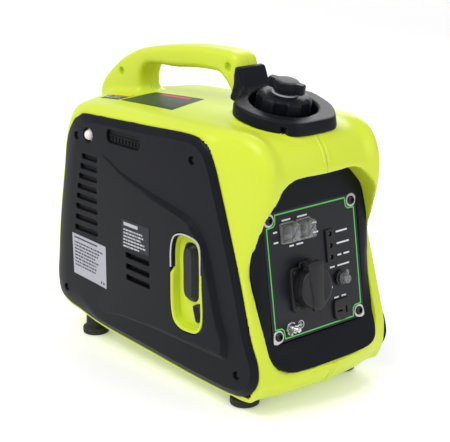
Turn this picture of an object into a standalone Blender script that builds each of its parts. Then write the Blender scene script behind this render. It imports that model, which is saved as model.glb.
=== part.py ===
# Portable inverter generator: a small petrol engine and alternator in a two-part moulded case.
# +Z is up, the control panel faces -Y, and the recoil starter is on the left side, at -X.
import math

import bmesh
import bpy
from mathutils import Matrix, Vector

for old in list(bpy.data.objects):
    bpy.data.objects.remove(old, do_unlink=True)

# ---- driving dimensions: millimetres, turned into metres as each mesh is made ----
MM = 0.001
GAP = 0.3                 # clearance between pieces that touch
LENGTH_SHIFT = -7.5       # puts the middle of the case's length on the origin
WALL = 3.0                # moulded wall of the case
SPLIT = 0.2               # half the seam between the two case halves
SIDE = 100.0              # half width of the case under the side covers
COVER_FACE = 106.0        # half width over the side covers
PLATEAU_FACE = 111.0      # half width over the raised field of a side cover
HANDLE_HALF = 17.0
CRANK_Z = 109.0
ROPE_Z = 145.0
ROPE_Y = -76.0
GROOVE_RADIUS = 36.0      # rope groove of the starter pulley
FOOT_X = 77.0
FOOT_FRONT_Y = -140.0
FOOT_REAR_Y = 151.0
FOOT_RADIUS = 17.0
FILLER = (0.0, -118.0, 331.0)   # where the filler's axis meets the collar's top
FILLER_TILT = math.radians(12.6)
COLLAR_THICKNESS = 14.4
PANEL_TILT = math.radians(7.9)
PANEL_ORIGIN = (0.0, -170.2, 152.3)
PANEL_WIDTH = 143.0
PANEL_HEIGHT = 146.0
SCREW_X = 63.0
SCREW_V = 65.0
SWITCHES = {"econ": -37.5, "engine": -13.5}     # places on the panel: across, then up from its middle
SWITCH_V = 47.5
ROCKER_PIVOT = 0.5
LAMP_U = 24.5
LAMP_VS = (33.5, 20, 6.5)
SOCKET_U, SOCKET_V = -16.0, -18.0
BREAKER_U, BREAKER_V = 37.0, -20.0
OUTLET_U, OUTLET_V = 35.0, -56.0
GROUND_U, GROUND_V = -44.0, -60.0
CAP_TOP = 12.0             # top of the fuel cap above the filler's mark, along its axis
CAP_RADIUS = 31.5
KNOB_RADIUS = 14.5
CHOKE_Y, CHOKE_Z = -86.0, 98.0
PULLEY = (0, ROPE_Y, CRANK_Z)
TAIL_Z = 170.0             # height of the exhaust tail

# Outlines of the case in side view, (y, z), each point standing at the same feature in every section.
SECTION_SIDE = [
    (-180, 18), (-190, 30), (-194, 50), (-191, 72), (-181, 97), (-163, 158), (-148, 204), (-132, 252),
    (-121, 282), (-111, 298), (-96, 306), (-76, 307.5), (-5, 305), (93, 301), (128, 299), (140, 295),
    (154, 284), (166, 263), (176, 217), (189, 155), (196, 106), (200, 70), (194, 48), (177, 38),
    (152, 34), (109, 27), (5, 21), (-89, 16), (-133, 16)]
SECTION_CORNER = [
    (-172, 17), (-181, 27), (-189, 40), (-191, 58), (-188, 79), (-165, 159), (-176, 205), (-184, 245),
    (-183, 270), (-175, 291), (-160, 304), (-128, 311), (-5, 311), (93, 307.5), (135, 305), (155, 300),
    (168, 290), (180, 268), (191, 220), (203, 157), (210, 107), (213, 70), (208, 46), (190, 32),
    (152, 28), (109, 22), (5, 16), (-89, 13), (-133, 13)]
SECTION_MIDDLE = [
    (-176, 16), (-188, 26), (-195, 38), (-197, 50), (-193, 79), (-172, 159), (-180, 205), (-186, 245),
    (-186, 270), (-178, 292), (-162, 305), (-128, 312), (-5, 312.5), (93, 309), (145, 306), (172, 300),
    (186, 290), (195, 268), (203, 220), (213, 157), (219, 107), (221, 70), (216, 46), (197, 31),
    (152, 26), (109, 20), (5, 14), (-89, 12), (-133, 12)]
SECTION_CENTRE = [
    (-180, 16), (-194, 26), (-203, 38), (-207, 50), (-203, 79), (-180, 159), (-186, 205), (-190, 245),
    (-189, 270), (-181, 293), (-165, 306), (-128, 313), (-5, 313.5), (93, 311), (150, 308), (186, 302),
    (204, 292), (211, 270), (215, 220), (219, 157), (221, 107), (222, 70), (219, 46), (200, 31),
    (152, 26), (109, 20), (5, 14), (-89, 12), (-133, 12)]

# The handle's arch in side view, with the hand gap open at its foot.
HANDLE = [
    (-74, 300), (-67, 330), (-63, 345), (-61, 366), (-56, 377), (-46, 380.5), (-27, 381), (17, 380),
    (74, 374), (124, 365), (146, 357), (168, 346), (190, 330), (206, 315), (209, 300), (126, 300),
    (124, 325), (120, 341), (110, 347.5), (58, 350), (24, 353.5), (-4, 355), (-24, 354), (-34, 347),
    (-45, 337), (-53, 328), (-58, 316), (-59, 300)]

# Half of the tank collar in plan, (x, y), from its front round to the handle; the lime plinth follows it.
COLLAR = [
    (0, -172), (26, -170.5), (34, -166), (42, -157), (51, -145), (56, -133), (58.5, -118), (59, -108),
    (56, -98), (49, -91), (36, -83), (27, -77)]

# Half of the opening in the front of the case, (x, z), from the top centre to the bottom centre.
FRONT_OPENING = [
    (0, 264), (42, 264), (52, 261), (60.5, 256), (72, 244), (77, 231), (79, 207), (84, 181),
    (88, 159), (87, 130), (85.5, 97), (84, 79), (81, 66), (74, 57.5), (60, 50), (0, 49)]

# Outline of a side cover, (y, z).
COVER = [
    (127, 295), (93, 297), (-5, 301), (-76, 304), (-93, 302), (-107, 294), (-117, 280), (-128, 251),
    (-159, 157), (-177, 93), (-188, 68), (-190, 51), (-182, 35), (-167, 24), (-152, 20), (-89, 20),
    (5, 25), (109, 31), (152, 38), (175, 42), (191, 51), (196, 70), (192, 105), (185, 154),
    (172, 216), (162, 262), (149, 282), (136, 291)]

# Raised field of a side cover, (y, z); it starts flush at the rear and stands proudest at the front.
PLATEAU = [
    (90, 251), (48, 239), (-10, 226), (-55, 218), (-82, 212), (-94, 204), (-104, 194), (-113, 179),
    (-124, 144), (-135, 106), (-145, 82), (-142, 61), (-123, 58), (-97, 58), (-4, 58), (57, 56), (100, 54)]

# Outer rim of the starter recess, (y, z).
RECESS = [
    (-69, 191.5), (-86, 192), (-98, 189), (-104, 182), (-105, 150), (-107, 100), (-104, 87), (-95, 78),
    (-81, 75.5), (-66, 76), (-55, 82), (-50, 94), (-49.5, 140), (-51, 173), (-57, 186)]

COVER_SCREWS = [(137, 267), (-85, 276.5), (172.5, 62), (-158, 47)]
LOUVRES = [
    (126, 95, 243.5), (130, 96, 230.5), (134, 96.5, 217.5), (138, 97.5, 204), (140.5, 98, 191),
    (143, 98, 177.5), (144.5, 98.5, 163.5), (147, 98.5, 149.5)]
VENTS = [139, 125, 111]
BACKLIGHT_WINDOW = (9, 73, 270, 286)
PRIMER = (112, 271.5)

parts = bpy.data.collections.new("portable_generator")
cutters = bpy.data.collections.new("cutters")
for collection in (parts, cutters):
    bpy.context.scene.collection.children.link(collection)

body_frame = bpy.data.objects.new("body_frame", None)
body_frame.location = (0, LENGTH_SHIFT * MM, 0)
parts.objects.link(body_frame)


# ---- materials ----
def finish(name, colour, roughness, metallic=0.0):
    material = bpy.data.materials.new(name)
    material.use_nodes = True
    shader = material.node_tree.nodes["Principled BSDF"]
    shader.inputs["Base Color"].default_value = (*colour, 1)
    shader.inputs["Roughness"].default_value = roughness
    shader.inputs["Metallic"].default_value = metallic
    return material


LIME = finish("lime_plastic", (0.62, 0.72, 0.06), 0.35)
BLACK = finish("black_plastic", (0.02, 0.021, 0.026), 0.45)
PANEL = finish("panel_film", (0.012, 0.013, 0.018), 0.3)
SOCKET = finish("socket_plastic", (0.022, 0.024, 0.03), 0.35)
CLEAR = finish("clear_vinyl", (0.6, 0.62, 0.64), 0.15)
LAMP = finish("lamp_lens", (0.05, 0.06, 0.07), 0.1)
STEEL = finish("plated_steel", (0.6, 0.6, 0.6), 0.3, 1.0)
SILVER = finish("silver_trim", (0.55, 0.53, 0.54), 0.35, 0.6)
ALLOY = finish("cast_alloy", (0.5, 0.5, 0.51), 0.5, 0.9)
COPPER = finish("wound_copper", (0.5, 0.2, 0.08), 0.4, 0.9)
RUBBER = finish("foot_rubber", (0.015, 0.015, 0.016), 0.8)
ROPE = finish("starter_rope", (0.03, 0.03, 0.03), 0.9)
TANK = finish("tank_plastic", (0.7, 0.68, 0.6), 0.5)
SILICONE = finish("primer_silicone", (0.75, 0.7, 0.7), 0.3)
CERAMIC = finish("plug_ceramic", (0.8, 0.8, 0.78), 0.2)


# ---- modelling helpers: every helper takes millimetres ----
def add(name, bm, material, origin=(0, 0, 0), smooth=False):
    """Turns a bmesh in millimetres into an object in metres, with its origin at the given point."""
    bmesh.ops.recalc_face_normals(bm, faces=bm.faces)
    bmesh.ops.translate(bm, verts=bm.verts, vec=-Vector(origin))
    bmesh.ops.scale(bm, verts=bm.verts, vec=(MM, MM, MM))
    mesh = bpy.data.meshes.new(name)
    bm.to_mesh(mesh)
    bm.free()
    if smooth:
        mesh.shade_smooth()
        mesh.set_sharp_from_angle(angle=math.radians(35))
    item = bpy.data.objects.new(name, mesh)
    item.location = Vector(origin) * MM
    item.parent = body_frame
    mesh.materials.append(material)
    parts.objects.link(item)
    return item


def hide(item):
    """Makes an object a cutter or a helper solid, which the build leaves out."""
    parts.objects.unlink(item)
    cutters.objects.link(item)
    item.hide_render = True
    item.display_type = "WIRE"
    return item


def boolean(item, other, operation):
    modifier = item.modifiers.new(operation.lower(), "BOOLEAN")
    modifier.object = hide(other) if other.name in parts.objects else other
    modifier.operation = operation
    modifier.solver = "EXACT"
    return item


def cut(item, *others):
    for other in others:
        boolean(item, other, "DIFFERENCE")
    return item


def join(item, *others):
    for other in others:
        boolean(item, other, "UNION")
    return item


def bevel(item, width, segments=2):
    modifier = item.modifiers.new("bevel", "BEVEL")
    modifier.width = width * MM
    modifier.segments = segments
    modifier.limit_method = "ANGLE"
    modifier.angle_limit = math.radians(40)
    return item


def box(name, low, high, material, origin=None):
    bm = bmesh.new()
    low, high = Vector(low), Vector(high)
    bmesh.ops.create_cube(bm, size=1)
    bmesh.ops.scale(bm, verts=bm.verts, vec=high - low)
    bmesh.ops.translate(bm, verts=bm.verts, vec=(low + high) / 2)
    return add(name, bm, material, origin or (low + high) / 2)


def turn_to(axis):
    """Rotation that takes +Z onto the named axis."""
    return {"X": Matrix.Rotation(math.radians(90), 4, "Y"),
            "Y": Matrix.Rotation(math.radians(-90), 4, "X"),
            "Z": Matrix.Identity(4)}[axis]


def cylinder(name, centre, radius, length, axis, material, radius_end=None, sides=24):
    bm = bmesh.new()
    end = radius if radius_end is None else radius_end
    bmesh.ops.create_cone(bm, cap_ends=True, segments=sides, radius1=radius, radius2=end, depth=length)
    bmesh.ops.transform(bm, matrix=Matrix.Translation(centre) @ turn_to(axis), verts=bm.verts)
    return add(name, bm, material, centre, smooth=True)


def turned(name, profile, origin, axis, material, steps=24):
    """A turned piece: the (radius, height) profile runs down its outer side and is spun by Screw."""
    bm = bmesh.new()
    points = [bm.verts.new((radius, 0, height)) for radius, height in profile]
    for a, b in zip(points, points[1:]):
        bm.edges.new((a, b))
    bmesh.ops.scale(bm, verts=bm.verts, vec=(MM, MM, MM))
    mesh = bpy.data.meshes.new(name)
    bm.to_mesh(mesh)
    bm.free()
    item = bpy.data.objects.new(name, mesh)
    item.matrix_local = Matrix.Translation(Vector(origin) * MM) @ turn_to(axis)
    item.parent = body_frame
    mesh.materials.append(material)
    parts.objects.link(item)
    screw = item.modifiers.new("spin", "SCREW")
    screw.steps = steps
    screw.render_steps = steps
    screw.use_merge_vertices = True
    screw.merge_threshold = 0.00002
    screw.use_smooth_shade = True
    return item


def prism(name, outline, plane, start, end, material, origin=None):
    """A flat outline drawn in the plane YZ, XZ or XY and pulled along the third axis."""
    place = {"YZ": lambda u, v, w: (w, u, v),
             "XZ": lambda u, v, w: (u, w, v),
             "XY": lambda u, v, w: (u, v, w)}
    bm = bmesh.new()
    face = bm.faces.new([bm.verts.new(place[plane](u, v, start)) for u, v in outline])
    pulled = bmesh.ops.extrude_face_region(bm, geom=[face])["geom"]
    top = [item for item in pulled if isinstance(item, bmesh.types.BMVert)]
    bmesh.ops.translate(bm, verts=top, vec=place[plane](0, 0, end - start))
    return add(name, bm, material, origin or (0, 0, 0))


def loft(name, rings, material):
    """A closed solid through rings of the same number of points."""
    bm = bmesh.new()
    rows = [[bm.verts.new(point) for point in ring] for ring in rings]
    for lower, upper in zip(rows, rows[1:]):
        for i in range(len(lower)):
            j = (i + 1) % len(lower)
            bm.faces.new((lower[i], lower[j], upper[j], upper[i]))
    bm.faces.new(rows[0])
    bm.faces.new(rows[-1])
    bmesh.ops.triangulate(bm, faces=bm.faces)
    return add(name, bm, material)


def inset(outline, distance):
    """Moves every side of a closed outline inwards; a negative distance moves it outwards."""
    area = sum(a[0] * b[1] - b[0] * a[1] for a, b in zip(outline, outline[1:] + outline[:1]))
    turn = 1 if area > 0 else -1
    result = []
    for before, here, after in zip(outline[-1:] + outline[:-1], outline, outline[1:] + outline[:1]):
        one = Vector((here[0] - before[0], here[1] - before[1])).normalized()
        two = Vector((after[0] - here[0], after[1] - here[1])).normalized()
        normal = Vector((-one.y - two.y, one.x + two.x)) * turn
        scale = distance / max(0.35, normal.normalized().dot(Vector((-one.y, one.x)) * turn))
        result.append(tuple(Vector(here) + normal.normalized() * scale))
    return result


def mirrored(outline):
    """Closes a half outline that starts and ends on the centre line."""
    return outline + [(-u, v) for u, v in outline[-2:0:-1]]


def rounded(width, height, radius, steps=3, centre=(0, 0)):
    points = []
    for corner, (sx, sy) in enumerate(((1, 1), (-1, 1), (-1, -1), (1, -1))):
        for step in range(steps + 1):
            angle = math.radians(90 * corner + 90 * step / steps)
            points.append((centre[0] + sx * (width / 2 - radius) + radius * math.cos(angle),
                           centre[1] + sy * (height / 2 - radius) + radius * math.sin(angle)))
    return points


def lean(item, height=0.0, turn=0.0):
    """Lays a piece drawn around its own origin, +Z up, on the leaning filler axis."""
    item.matrix_local = (Matrix.Translation(Vector(FILLER) * MM) @ Matrix.Rotation(FILLER_TILT, 4, "X")
                         @ Matrix.Translation((0, 0, height * MM)) @ Matrix.Rotation(turn, 4, "Z"))
    return item


def collar_height(y):
    """Height of the collar's leaning top face."""
    return FILLER[2] + (y - FILLER[1]) * math.tan(FILLER_TILT)


# ---- the two case halves ----
def case_solid(name, side, thickness):
    """Half of the case as a solid, moved inwards by a wall's thickness."""
    start = SPLIT if thickness == 0 else -5.0
    stations = [(start, SECTION_CENTRE), (60, SECTION_MIDDLE), (87.4, SECTION_CORNER), (96, None),
                (SIDE, SECTION_SIDE)]
    rings = []
    for x, section in stations:
        if section is None:
            section = [(0.45 * a + 0.55 * c, 0.45 * b + 0.55 * d)
                       for (a, b), (c, d) in zip(inset(SECTION_SIDE, -4), SECTION_CORNER)]
        if x > 1:
            x -= thickness
        rings.append([(side * x, y, z) for y, z in inset(section, thickness)])
    return loft(name, rings, LIME)


def case_half(name, side):
    def span(a, b):
        return (side * a, side * b)

    shell = case_solid(name, side, 0)
    join(shell, prism(name + "_grip", HANDLE, "YZ", *span(SPLIT, HANDLE_HALF), LIME))
    cut(shell, case_solid(name + "_hollow", side, WALL))
    cut(shell, prism(name + "_grip_hollow", inset(HANDLE, WALL), "YZ", *span(-5, HANDLE_HALF - WALL), LIME))
    reveal = prism(name + "_reveal", inset(mirrored(FRONT_OPENING), -WALL), "XZ", -230, -146, LIME)
    boolean(reveal, case_solid(name + "_reveal_limit", side, 0), "INTERSECT")
    join(shell, reveal)
    cut(shell, prism(name + "_front", mirrored(FRONT_OPENING), "XZ", -240, -135, LIME))
    cut(shell, prism(name + "_side", inset(COVER, 30), "YZ", *span(93, 115), LIME))
    cut(shell, box(name + "_rear", (-45.3, 190, 91.3), (45.3, 240, 251.3), LIME))
    outline = [(x, y) for x, y in inset(mirrored(COLLAR + [(18, -74.4), (0, -74.4)]), 1.2) if x > SPLIT + 1]
    outline = [(SPLIT, -170.8)] + outline + [(SPLIT, -75.6)]
    base = [(side * x, y, 300.5) for x, y in outline]
    top = [(side * x, y, collar_height(y) - COLLAR_THICKNESS - GAP) for x, y in outline]
    join(shell, loft(name + "_plinth", [base, top], LIME))
    cut(shell, lean(cylinder(name + "_filler", (0, 0, 0), 37.6, 110, "Z", LIME, sides=32)))
    for y, z in COVER_SCREWS:
        cut(shell, cylinder(f"{name}_boss_{y}", (side * SIDE, y, z), 2.1, 14, "X", LIME, sides=10))
    for y in (FOOT_FRONT_Y, FOOT_REAR_Y):
        cut(shell, cylinder(f"{name}_foot_{y}", (side * FOOT_X, y, 20), 4.3, 40, "Z", LIME, sides=12))
    return shell


left_shell = case_half("left_shell", -1)
cut(left_shell, cylinder("primer_passage", (-SIDE, *PRIMER), 9.6, 20, "X", LIME))
case_half("right_shell", 1)


# ---- side covers ----
def side_cover(name, side):
    base, face = SIDE + GAP, COVER_FACE
    shell = loft(name, [[(side * base, y, z) for y, z in COVER],
                        [(side * (base + 1.2), y, z) for y, z in COVER],
                        [(side * face, y, z) for y, z in inset(COVER, 7)]], BLACK)
    front = min(y for y, z in PLATEAU)
    rear = max(y for y, z in PLATEAU)
    rise = [(side * (face + (PLATEAU_FACE - face) * min(1, (rear - y) / (rear - front) * 1.15)), y, z)
            for y, z in inset(PLATEAU, 3)]
    join(shell, loft(name + "_plateau", [[(side * 103, y, z) for y, z in PLATEAU], rise], BLACK))
    cut(shell, loft(name + "_hollow", [[(side * 95, y, z) for y, z in inset(COVER, 9)],
                                       [(side * (face - 2.8), y, z) for y, z in inset(COVER, 11)]], BLACK))
    for low, high, z in [(b, a, z) for a, b, z in LOUVRES] + [(-8, 39, z) for z in VENTS]:
        cut(shell, box(f"{name}_slot_{z}_{low}", (side * 103 - 12, low, z - 3),
                       (side * 103 + 12, high, z + 3), BLACK))
    for y, z in COVER_SCREWS:
        cut(shell, cylinder(f"{name}_hole_{y}", (side * 103, y, z), 4.8, 20, "X", BLACK, sides=12))
    return shell


left_cover = side_cover("left_side_cover", -1)
cut(left_cover, prism("recess_window", inset(RECESS, -GAP), "YZ", -120, -90, BLACK))
cut(left_cover, cylinder("primer_window", (-103, *PRIMER), 9.25, 20, "X", BLACK))
low, high, bottom, top = BACKLIGHT_WINDOW
window = rounded(high - low, top - bottom, 7, 3, ((low + high) / 2, (top + bottom) / 2))
cut(left_cover, prism("sight_window", window, "YZ", -120, -90, BLACK))
side_cover("right_side_cover", 1)
for number, (y, z) in enumerate(COVER_SCREWS, 1):
    screw = cylinder(f"left_cover_screw_{number}", (-SIDE - 1.6, y, z), 4.2, 2.6, "X", STEEL, sides=12)
    join(screw, cylinder(f"screw_thread_{number}", (3.5 - SIDE, y, z), 1.6, 10, "X", STEEL, sides=8))


# ---- front bezel and control panel ----
def on_panel(u, v, out):
    """Point on the control panel: u across, v up along the plate, out towards the user."""
    x, y, z = PANEL_ORIGIN
    return (x + u, y + v * math.sin(PANEL_TILT) - out * math.cos(PANEL_TILT),
            z + v * math.cos(PANEL_TILT) + out * math.sin(PANEL_TILT))


def on_plate(item, u, v, out):
    """Lays a piece drawn around its own origin, +Z outwards and +Y up the plate, on the panel."""
    item.matrix_local = (Matrix.Translation(Vector(on_panel(u, v, out)) * MM)
                         @ Matrix.Rotation(math.radians(90) - PANEL_TILT, 4, "X"))
    return item


def plate_box(name, u, v, width, height, back, front, material):
    item = box(name, (-width / 2, -height / 2, back), (width / 2, height / 2, front), material, (0, 0, 0))
    return on_plate(item, u, v, 0)


def plate_cylinder(name, u, v, radius, back, front, material, sides=20):
    item = cylinder(name, (0, 0, (back + front) / 2), radius, front - back, "Z", material, sides=sides)
    for vertex in item.data.vertices:
        vertex.co.z += (back + front) / 2 * MM
    return on_plate(item, u, v, 0)


bezel = prism("front_bezel", inset(mirrored(FRONT_OPENING), 0.5), "XZ", -215, -142, BLACK)
# The face follows the panel's slope, stands level with the case at the waist and leans out as a chin.
face_line = [(-160, 262), (-164.5, 216), (-172.8, 150), (-181.5, 82), (-199, 54), (-204, 47)]
ahead_of_face = [(-260, 275), (-158, 275)] + face_line + [(-260, 40)]
cut(bezel, prism("bezel_face", ahead_of_face, "YZ", -120, 120, BLACK))
back_line = [(-154, 262), (-158, 216), (-166, 150), (-175, 82), (-190, 56), (-190, 52), (-100, 52),
             (-100, 262)]
hollow = prism("bezel_hollow", inset(mirrored(FRONT_OPENING), 3.2), "XZ", -230, -120, BLACK)
boolean(hollow, prism("bezel_back", back_line, "YZ", -120, 120, BLACK), "INTERSECT")
cut(bezel, hollow)
cut(bezel, plate_box("panel_seat", 0, 0, PANEL_WIDTH + 2 * GAP, PANEL_HEIGHT + 2 * GAP, -0.3, 30, BLACK))
cut(bezel, plate_box("wiring_window", 0, 0, 112, 136, -30, 5, BLACK))

panel = prism("control_panel", rounded(PANEL_WIDTH, PANEL_HEIGHT, 6), "XY", 0, 1.8, PANEL)
on_plate(panel, 0, 0, 0)
for label, u in SWITCHES.items():
    cut(panel, plate_box(label + "_window", u, SWITCH_V, 18.6, 20.6, -5, 8, PANEL))
cut(panel, plate_box("indicator_window", LAMP_U, 20, 12.6, 37.6, -5, 8, PANEL))
cut(panel, plate_cylinder("socket_window", SOCKET_U, SOCKET_V, 20.3, -5, 8, PANEL))
cut(panel, plate_cylinder("breaker_window", BREAKER_U, BREAKER_V, 6.3, -5, 8, PANEL))
cut(panel, plate_box("outlet_window", OUTLET_U, OUTLET_V, 20.6, 15.6, -5, 8, PANEL))
cut(panel, plate_cylinder("ground_window", GROUND_U, GROUND_V, 3.3, -5, 8, PANEL, 12))

for label_v, v in (("top", SCREW_V), ("bottom", -SCREW_V)):
    for label_u, u in (("left", -SCREW_X), ("right", SCREW_X)):
        name = f"panel_screw_{label_v}_{label_u}"
        cut(panel, plate_cylinder(name + "_clearance", u, v, 2.6, -5, 8, PANEL, 12))
        cut(bezel, plate_cylinder(name + "_boss", u, v, 2.3, -30, 8, PANEL, 12))
        head = plate_cylinder(name, u, v, 4.6, 1.8 + GAP, 4.6, STEEL, 16)
        join(head, plate_cylinder(name + "_thread", u, v, 2.0, -7, 3, STEEL, 8))

for label, u in SWITCHES.items():
    housing = plate_box(label + "_switch", u, SWITCH_V, 18, 20, -22, 4.2, BLACK)
    cut(housing, plate_box(label + "_well", u, SWITCH_V, 12.6, 16.6, -8, 10, BLACK))
    rocker = prism(label + "_rocker", [(-7, 0), (7, 4), (6.8, -2), (3, -5), (-3, -5), (-6.8, -4)],
                   "YZ", -5.9, 5.9, BLACK)
    on_plate(rocker, u, SWITCH_V, ROCKER_PIVOT)
    boot = plate_box(label + "_boot", u, SWITCH_V, 21.5, 23.5, 2.1, 15.5, CLEAR)
    cut(boot, plate_box(label + "_boot_inside", u, SWITCH_V, 19.3, 21.3, 0, 14.4, CLEAR))

block = plate_box("indicator_block", LAMP_U, 20, 12, 37, -16, 3.2, BLACK)
for number, v in enumerate(LAMP_VS, 1):
    cut(block, plate_cylinder(f"lamp_hole_{number}", LAMP_U, v, 2.9, -6, 8, BLACK, 16))
    plate_cylinder(f"indicator_lamp_{number}", LAMP_U, v, 2.6, -5, 2.2, LAMP, 16)

socket = prism("ac_socket", rounded(50, 50, 5), "XY", 2.1, 6, SOCKET)
on_plate(socket, SOCKET_U, SOCKET_V, 0)
join(socket, plate_cylinder("socket_collar", SOCKET_U, SOCKET_V, 22.5, 4, 15, SOCKET, 20),
     plate_cylinder("socket_body", SOCKET_U, SOCKET_V, 20, -28, 4, SOCKET, 20),
     plate_box("socket_lug", SOCKET_U, SOCKET_V + 24.5, 9, 8, 3, 15.1, SOCKET))
cut(socket, plate_cylinder("socket_well", SOCKET_U, SOCKET_V, 18.8, -2, 22, SOCKET, 20),
    cylinder("lug_bore", on_panel(SOCKET_U, SOCKET_V + 25.6, 13.4), 1.4, 20, "X", SOCKET, sides=12))
for sign in (-1, 1):
    pin = plate_cylinder(f"socket_pin_{sign}", SOCKET_U + 9.5 * sign, SOCKET_V, 2.4, -22, 0, SOCKET, 12)
    cut(socket, pin)

LID_AXIS = on_panel(SOCKET_U, SOCKET_V + 25.6, 13.4)
lid = plate_cylinder("socket_lid", SOCKET_U, SOCKET_V, 23.2, 15.4, 20.5, SOCKET, 24)
for sign in (-1, 1):
    hook = [(15, 15.8), (23.2, 15.8), (23.2, 11.2), (28.2, 11.2), (28.2, 19.4), (15, 19.4)]
    arm = prism(f"lid_arm_{sign}", hook, "YZ", sign * 5.2, sign * 11.2, SOCKET)
    join(lid, on_plate(arm, SOCKET_U, SOCKET_V, 0))
join(lid, plate_box("lid_pull", SOCKET_U, SOCKET_V - 23.5, 16, 5, 15.8, 19.4, SOCKET))
cut(lid, cylinder("lid_bore", LID_AXIS, 1.4, 30, "X", SOCKET, sides=12))
cylinder("lid_pin", LID_AXIS, 1.1, 22, "X", STEEL, sides=12)

breaker = plate_cylinder("dc_breaker", BREAKER_U, BREAKER_V, 6, -24, 2.1, BLACK)
join(breaker, plate_cylinder("breaker_nut", BREAKER_U, BREAKER_V, 8.2, 2.1, 6.2, BLACK, 6))
cut(breaker, plate_cylinder("breaker_well", BREAKER_U, BREAKER_V, 4.1, -4, 10, BLACK))
plate_cylinder("breaker_button", BREAKER_U, BREAKER_V, 3.6, 0, 11.5, BLACK)

outlet = plate_box("dc_outlet", OUTLET_U, OUTLET_V, 20, 15, -18, 2.1, BLACK)
join(outlet, plate_box("outlet_flange", OUTLET_U, OUTLET_V, 26, 22, 2.1, 5.2, BLACK))
cut(outlet, plate_box("outlet_slot_left", OUTLET_U - 5, OUTLET_V, 2, 8, -10, 10, BLACK),
    plate_box("outlet_slot_right", OUTLET_U + 5, OUTLET_V, 8, 2, -10, 10, BLACK))

stud = plate_cylinder("ground_stud", GROUND_U, GROUND_V, 2.9, -14, 16, STEEL, 12)
nut = plate_cylinder("ground_nut", GROUND_U, GROUND_V, 6.5, 2.1, 9.5, STEEL, 12)
cut(nut, plate_cylinder("nut_bore", GROUND_U, GROUND_V, 3.2, 0, 12, STEEL, 12))

# ---- fuel system ----
plan = mirrored(COLLAR + [(20.5, -72), (20.5, -60.5), (0, -60.5)])
collar = prism("tank_collar", plan, "XY", 300, 372, BLACK)
under = [(y, collar_height(y) - COLLAR_THICKNESS) for y in (-200, -40)]
over = [(y, collar_height(y)) for y in (-200, -78)] + [(-76, 342), (-67, 363), (-63, 366), (-40, 366)]
cut(collar, prism("collar_under", under + [(-40, 280), (-200, 280)], "YZ", -80, 80, BLACK),
    prism("collar_top", over + [(-40, 400), (-200, 400)], "YZ", -80, 80, BLACK),
    lean(cylinder("collar_ring", (0, 0, 0), 38.8, 80, "Z", BLACK, sides=32)),
    prism("handle_seat", inset(HANDLE, -GAP), "YZ", -HANDLE_HALF - GAP, HANDLE_HALF + GAP, BLACK))

tank = box("fuel_tank", (-72, -132, 232), (72, 60, 284), TANK)
bevel(tank, 12)
tank_neck = cylinder("tank_neck", (0, 0, -27), 26, 62, "Z", TANK, sides=20)
tank_neck.data.transform(Matrix.Translation((0, 0, -27 * MM)))
join(tank, lean(tank_neck))
tank_inside = box("tank_inside", (-69, -129, 235), (69, 57, 281), TANK)
bevel(tank_inside, 9, 1)
neck_bore = cylinder("neck_bore", (0, 0, 0), 23, 130, "Z", TANK, sides=20)
cut(tank, tank_inside, lean(neck_bore))
cap_section = [(0, CAP_TOP), (24, CAP_TOP), (29, CAP_TOP - 3), (CAP_RADIUS, CAP_TOP - 7), (CAP_RADIUS, -13),
               (27.2, -13), (27.2, CAP_TOP - 4), (6, CAP_TOP - 4), (0, CAP_TOP - 4)]
cap = turned("fuel_cap", cap_section, (0, 0, 0), "Z", BLACK, 20)
lean(cap)
knob_section = [(0, 16), (12, 15), (KNOB_RADIUS, 12), (KNOB_RADIUS, GAP), (0, GAP)]
knob = turned("vent_knob", knob_section, (0, 0, 0), "Z", BLACK, 16)
wings = box("knob_wings", (-4, -22, 1), (4, 22, 14), BLACK, (0, 0, 0))
lean(wings, CAP_TOP, math.radians(21))
join(lean(knob, CAP_TOP), wings)

# ---- starter ----
recess = loft("starter_recess", [[(-PLATEAU_FACE + 1, y, z) for y, z in inset(RECESS, 1.2)],
                                 [(-PLATEAU_FACE + 4, y, z) for y, z in inset(RECESS, 0.3)],
                                 [(-94, y, z) for y, z in inset(RECESS, 1.5)],
                                 [(-62, y, z) for y, z in inset(RECESS, 5)]], LIME)
cut(recess, loft("recess_inside", [[(-120, y, z) for y, z in inset(RECESS, 6.5)],
                                   [(-64.5, y, z) for y, z in inset(RECESS, 9)]], LIME),
    cylinder("guide_seat", (-62, ROPE_Y, ROPE_Z), 7.3, 20, "X", LIME))
trim = prism("recess_trim", inset(RECESS, 7.8), "YZ", -109, -100, SILVER)
cut(trim, prism("trim_inside", inset(RECESS, 10), "YZ", -130, -90, SILVER),
    box("trim_end", (-130, -140, 60), (-90, -20, 140), SILVER))
guide = cylinder("rope_guide", (-66, ROPE_Y, ROPE_Z), 7, 16, "X", BLACK)
cut(guide, cylinder("guide_bore", (-66, ROPE_Y, ROPE_Z), 2.8, 30, "X", BLACK, sides=16))
grip = prism("starter_grip", rounded(28, 70, 10, 4, (ROPE_Y, ROPE_Z)), "YZ", -106, -88, BLACK,
             (-97, ROPE_Y, ROPE_Z))
bevel(grip, 3, 1)
join(grip, box("grip_stem", (-92, ROPE_Y - 6, ROPE_Z - 10), (-78, ROPE_Y + 6, ROPE_Z + 10), BLACK))
cut(grip, cylinder("grip_bore", (-80, ROPE_Y, ROPE_Z), 2.3, 30, "X", BLACK, sides=12))
cylinder("starter_rope", (-46.5, ROPE_Y, ROPE_Z), 1.9, 92, "X", ROPE, sides=10)

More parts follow.
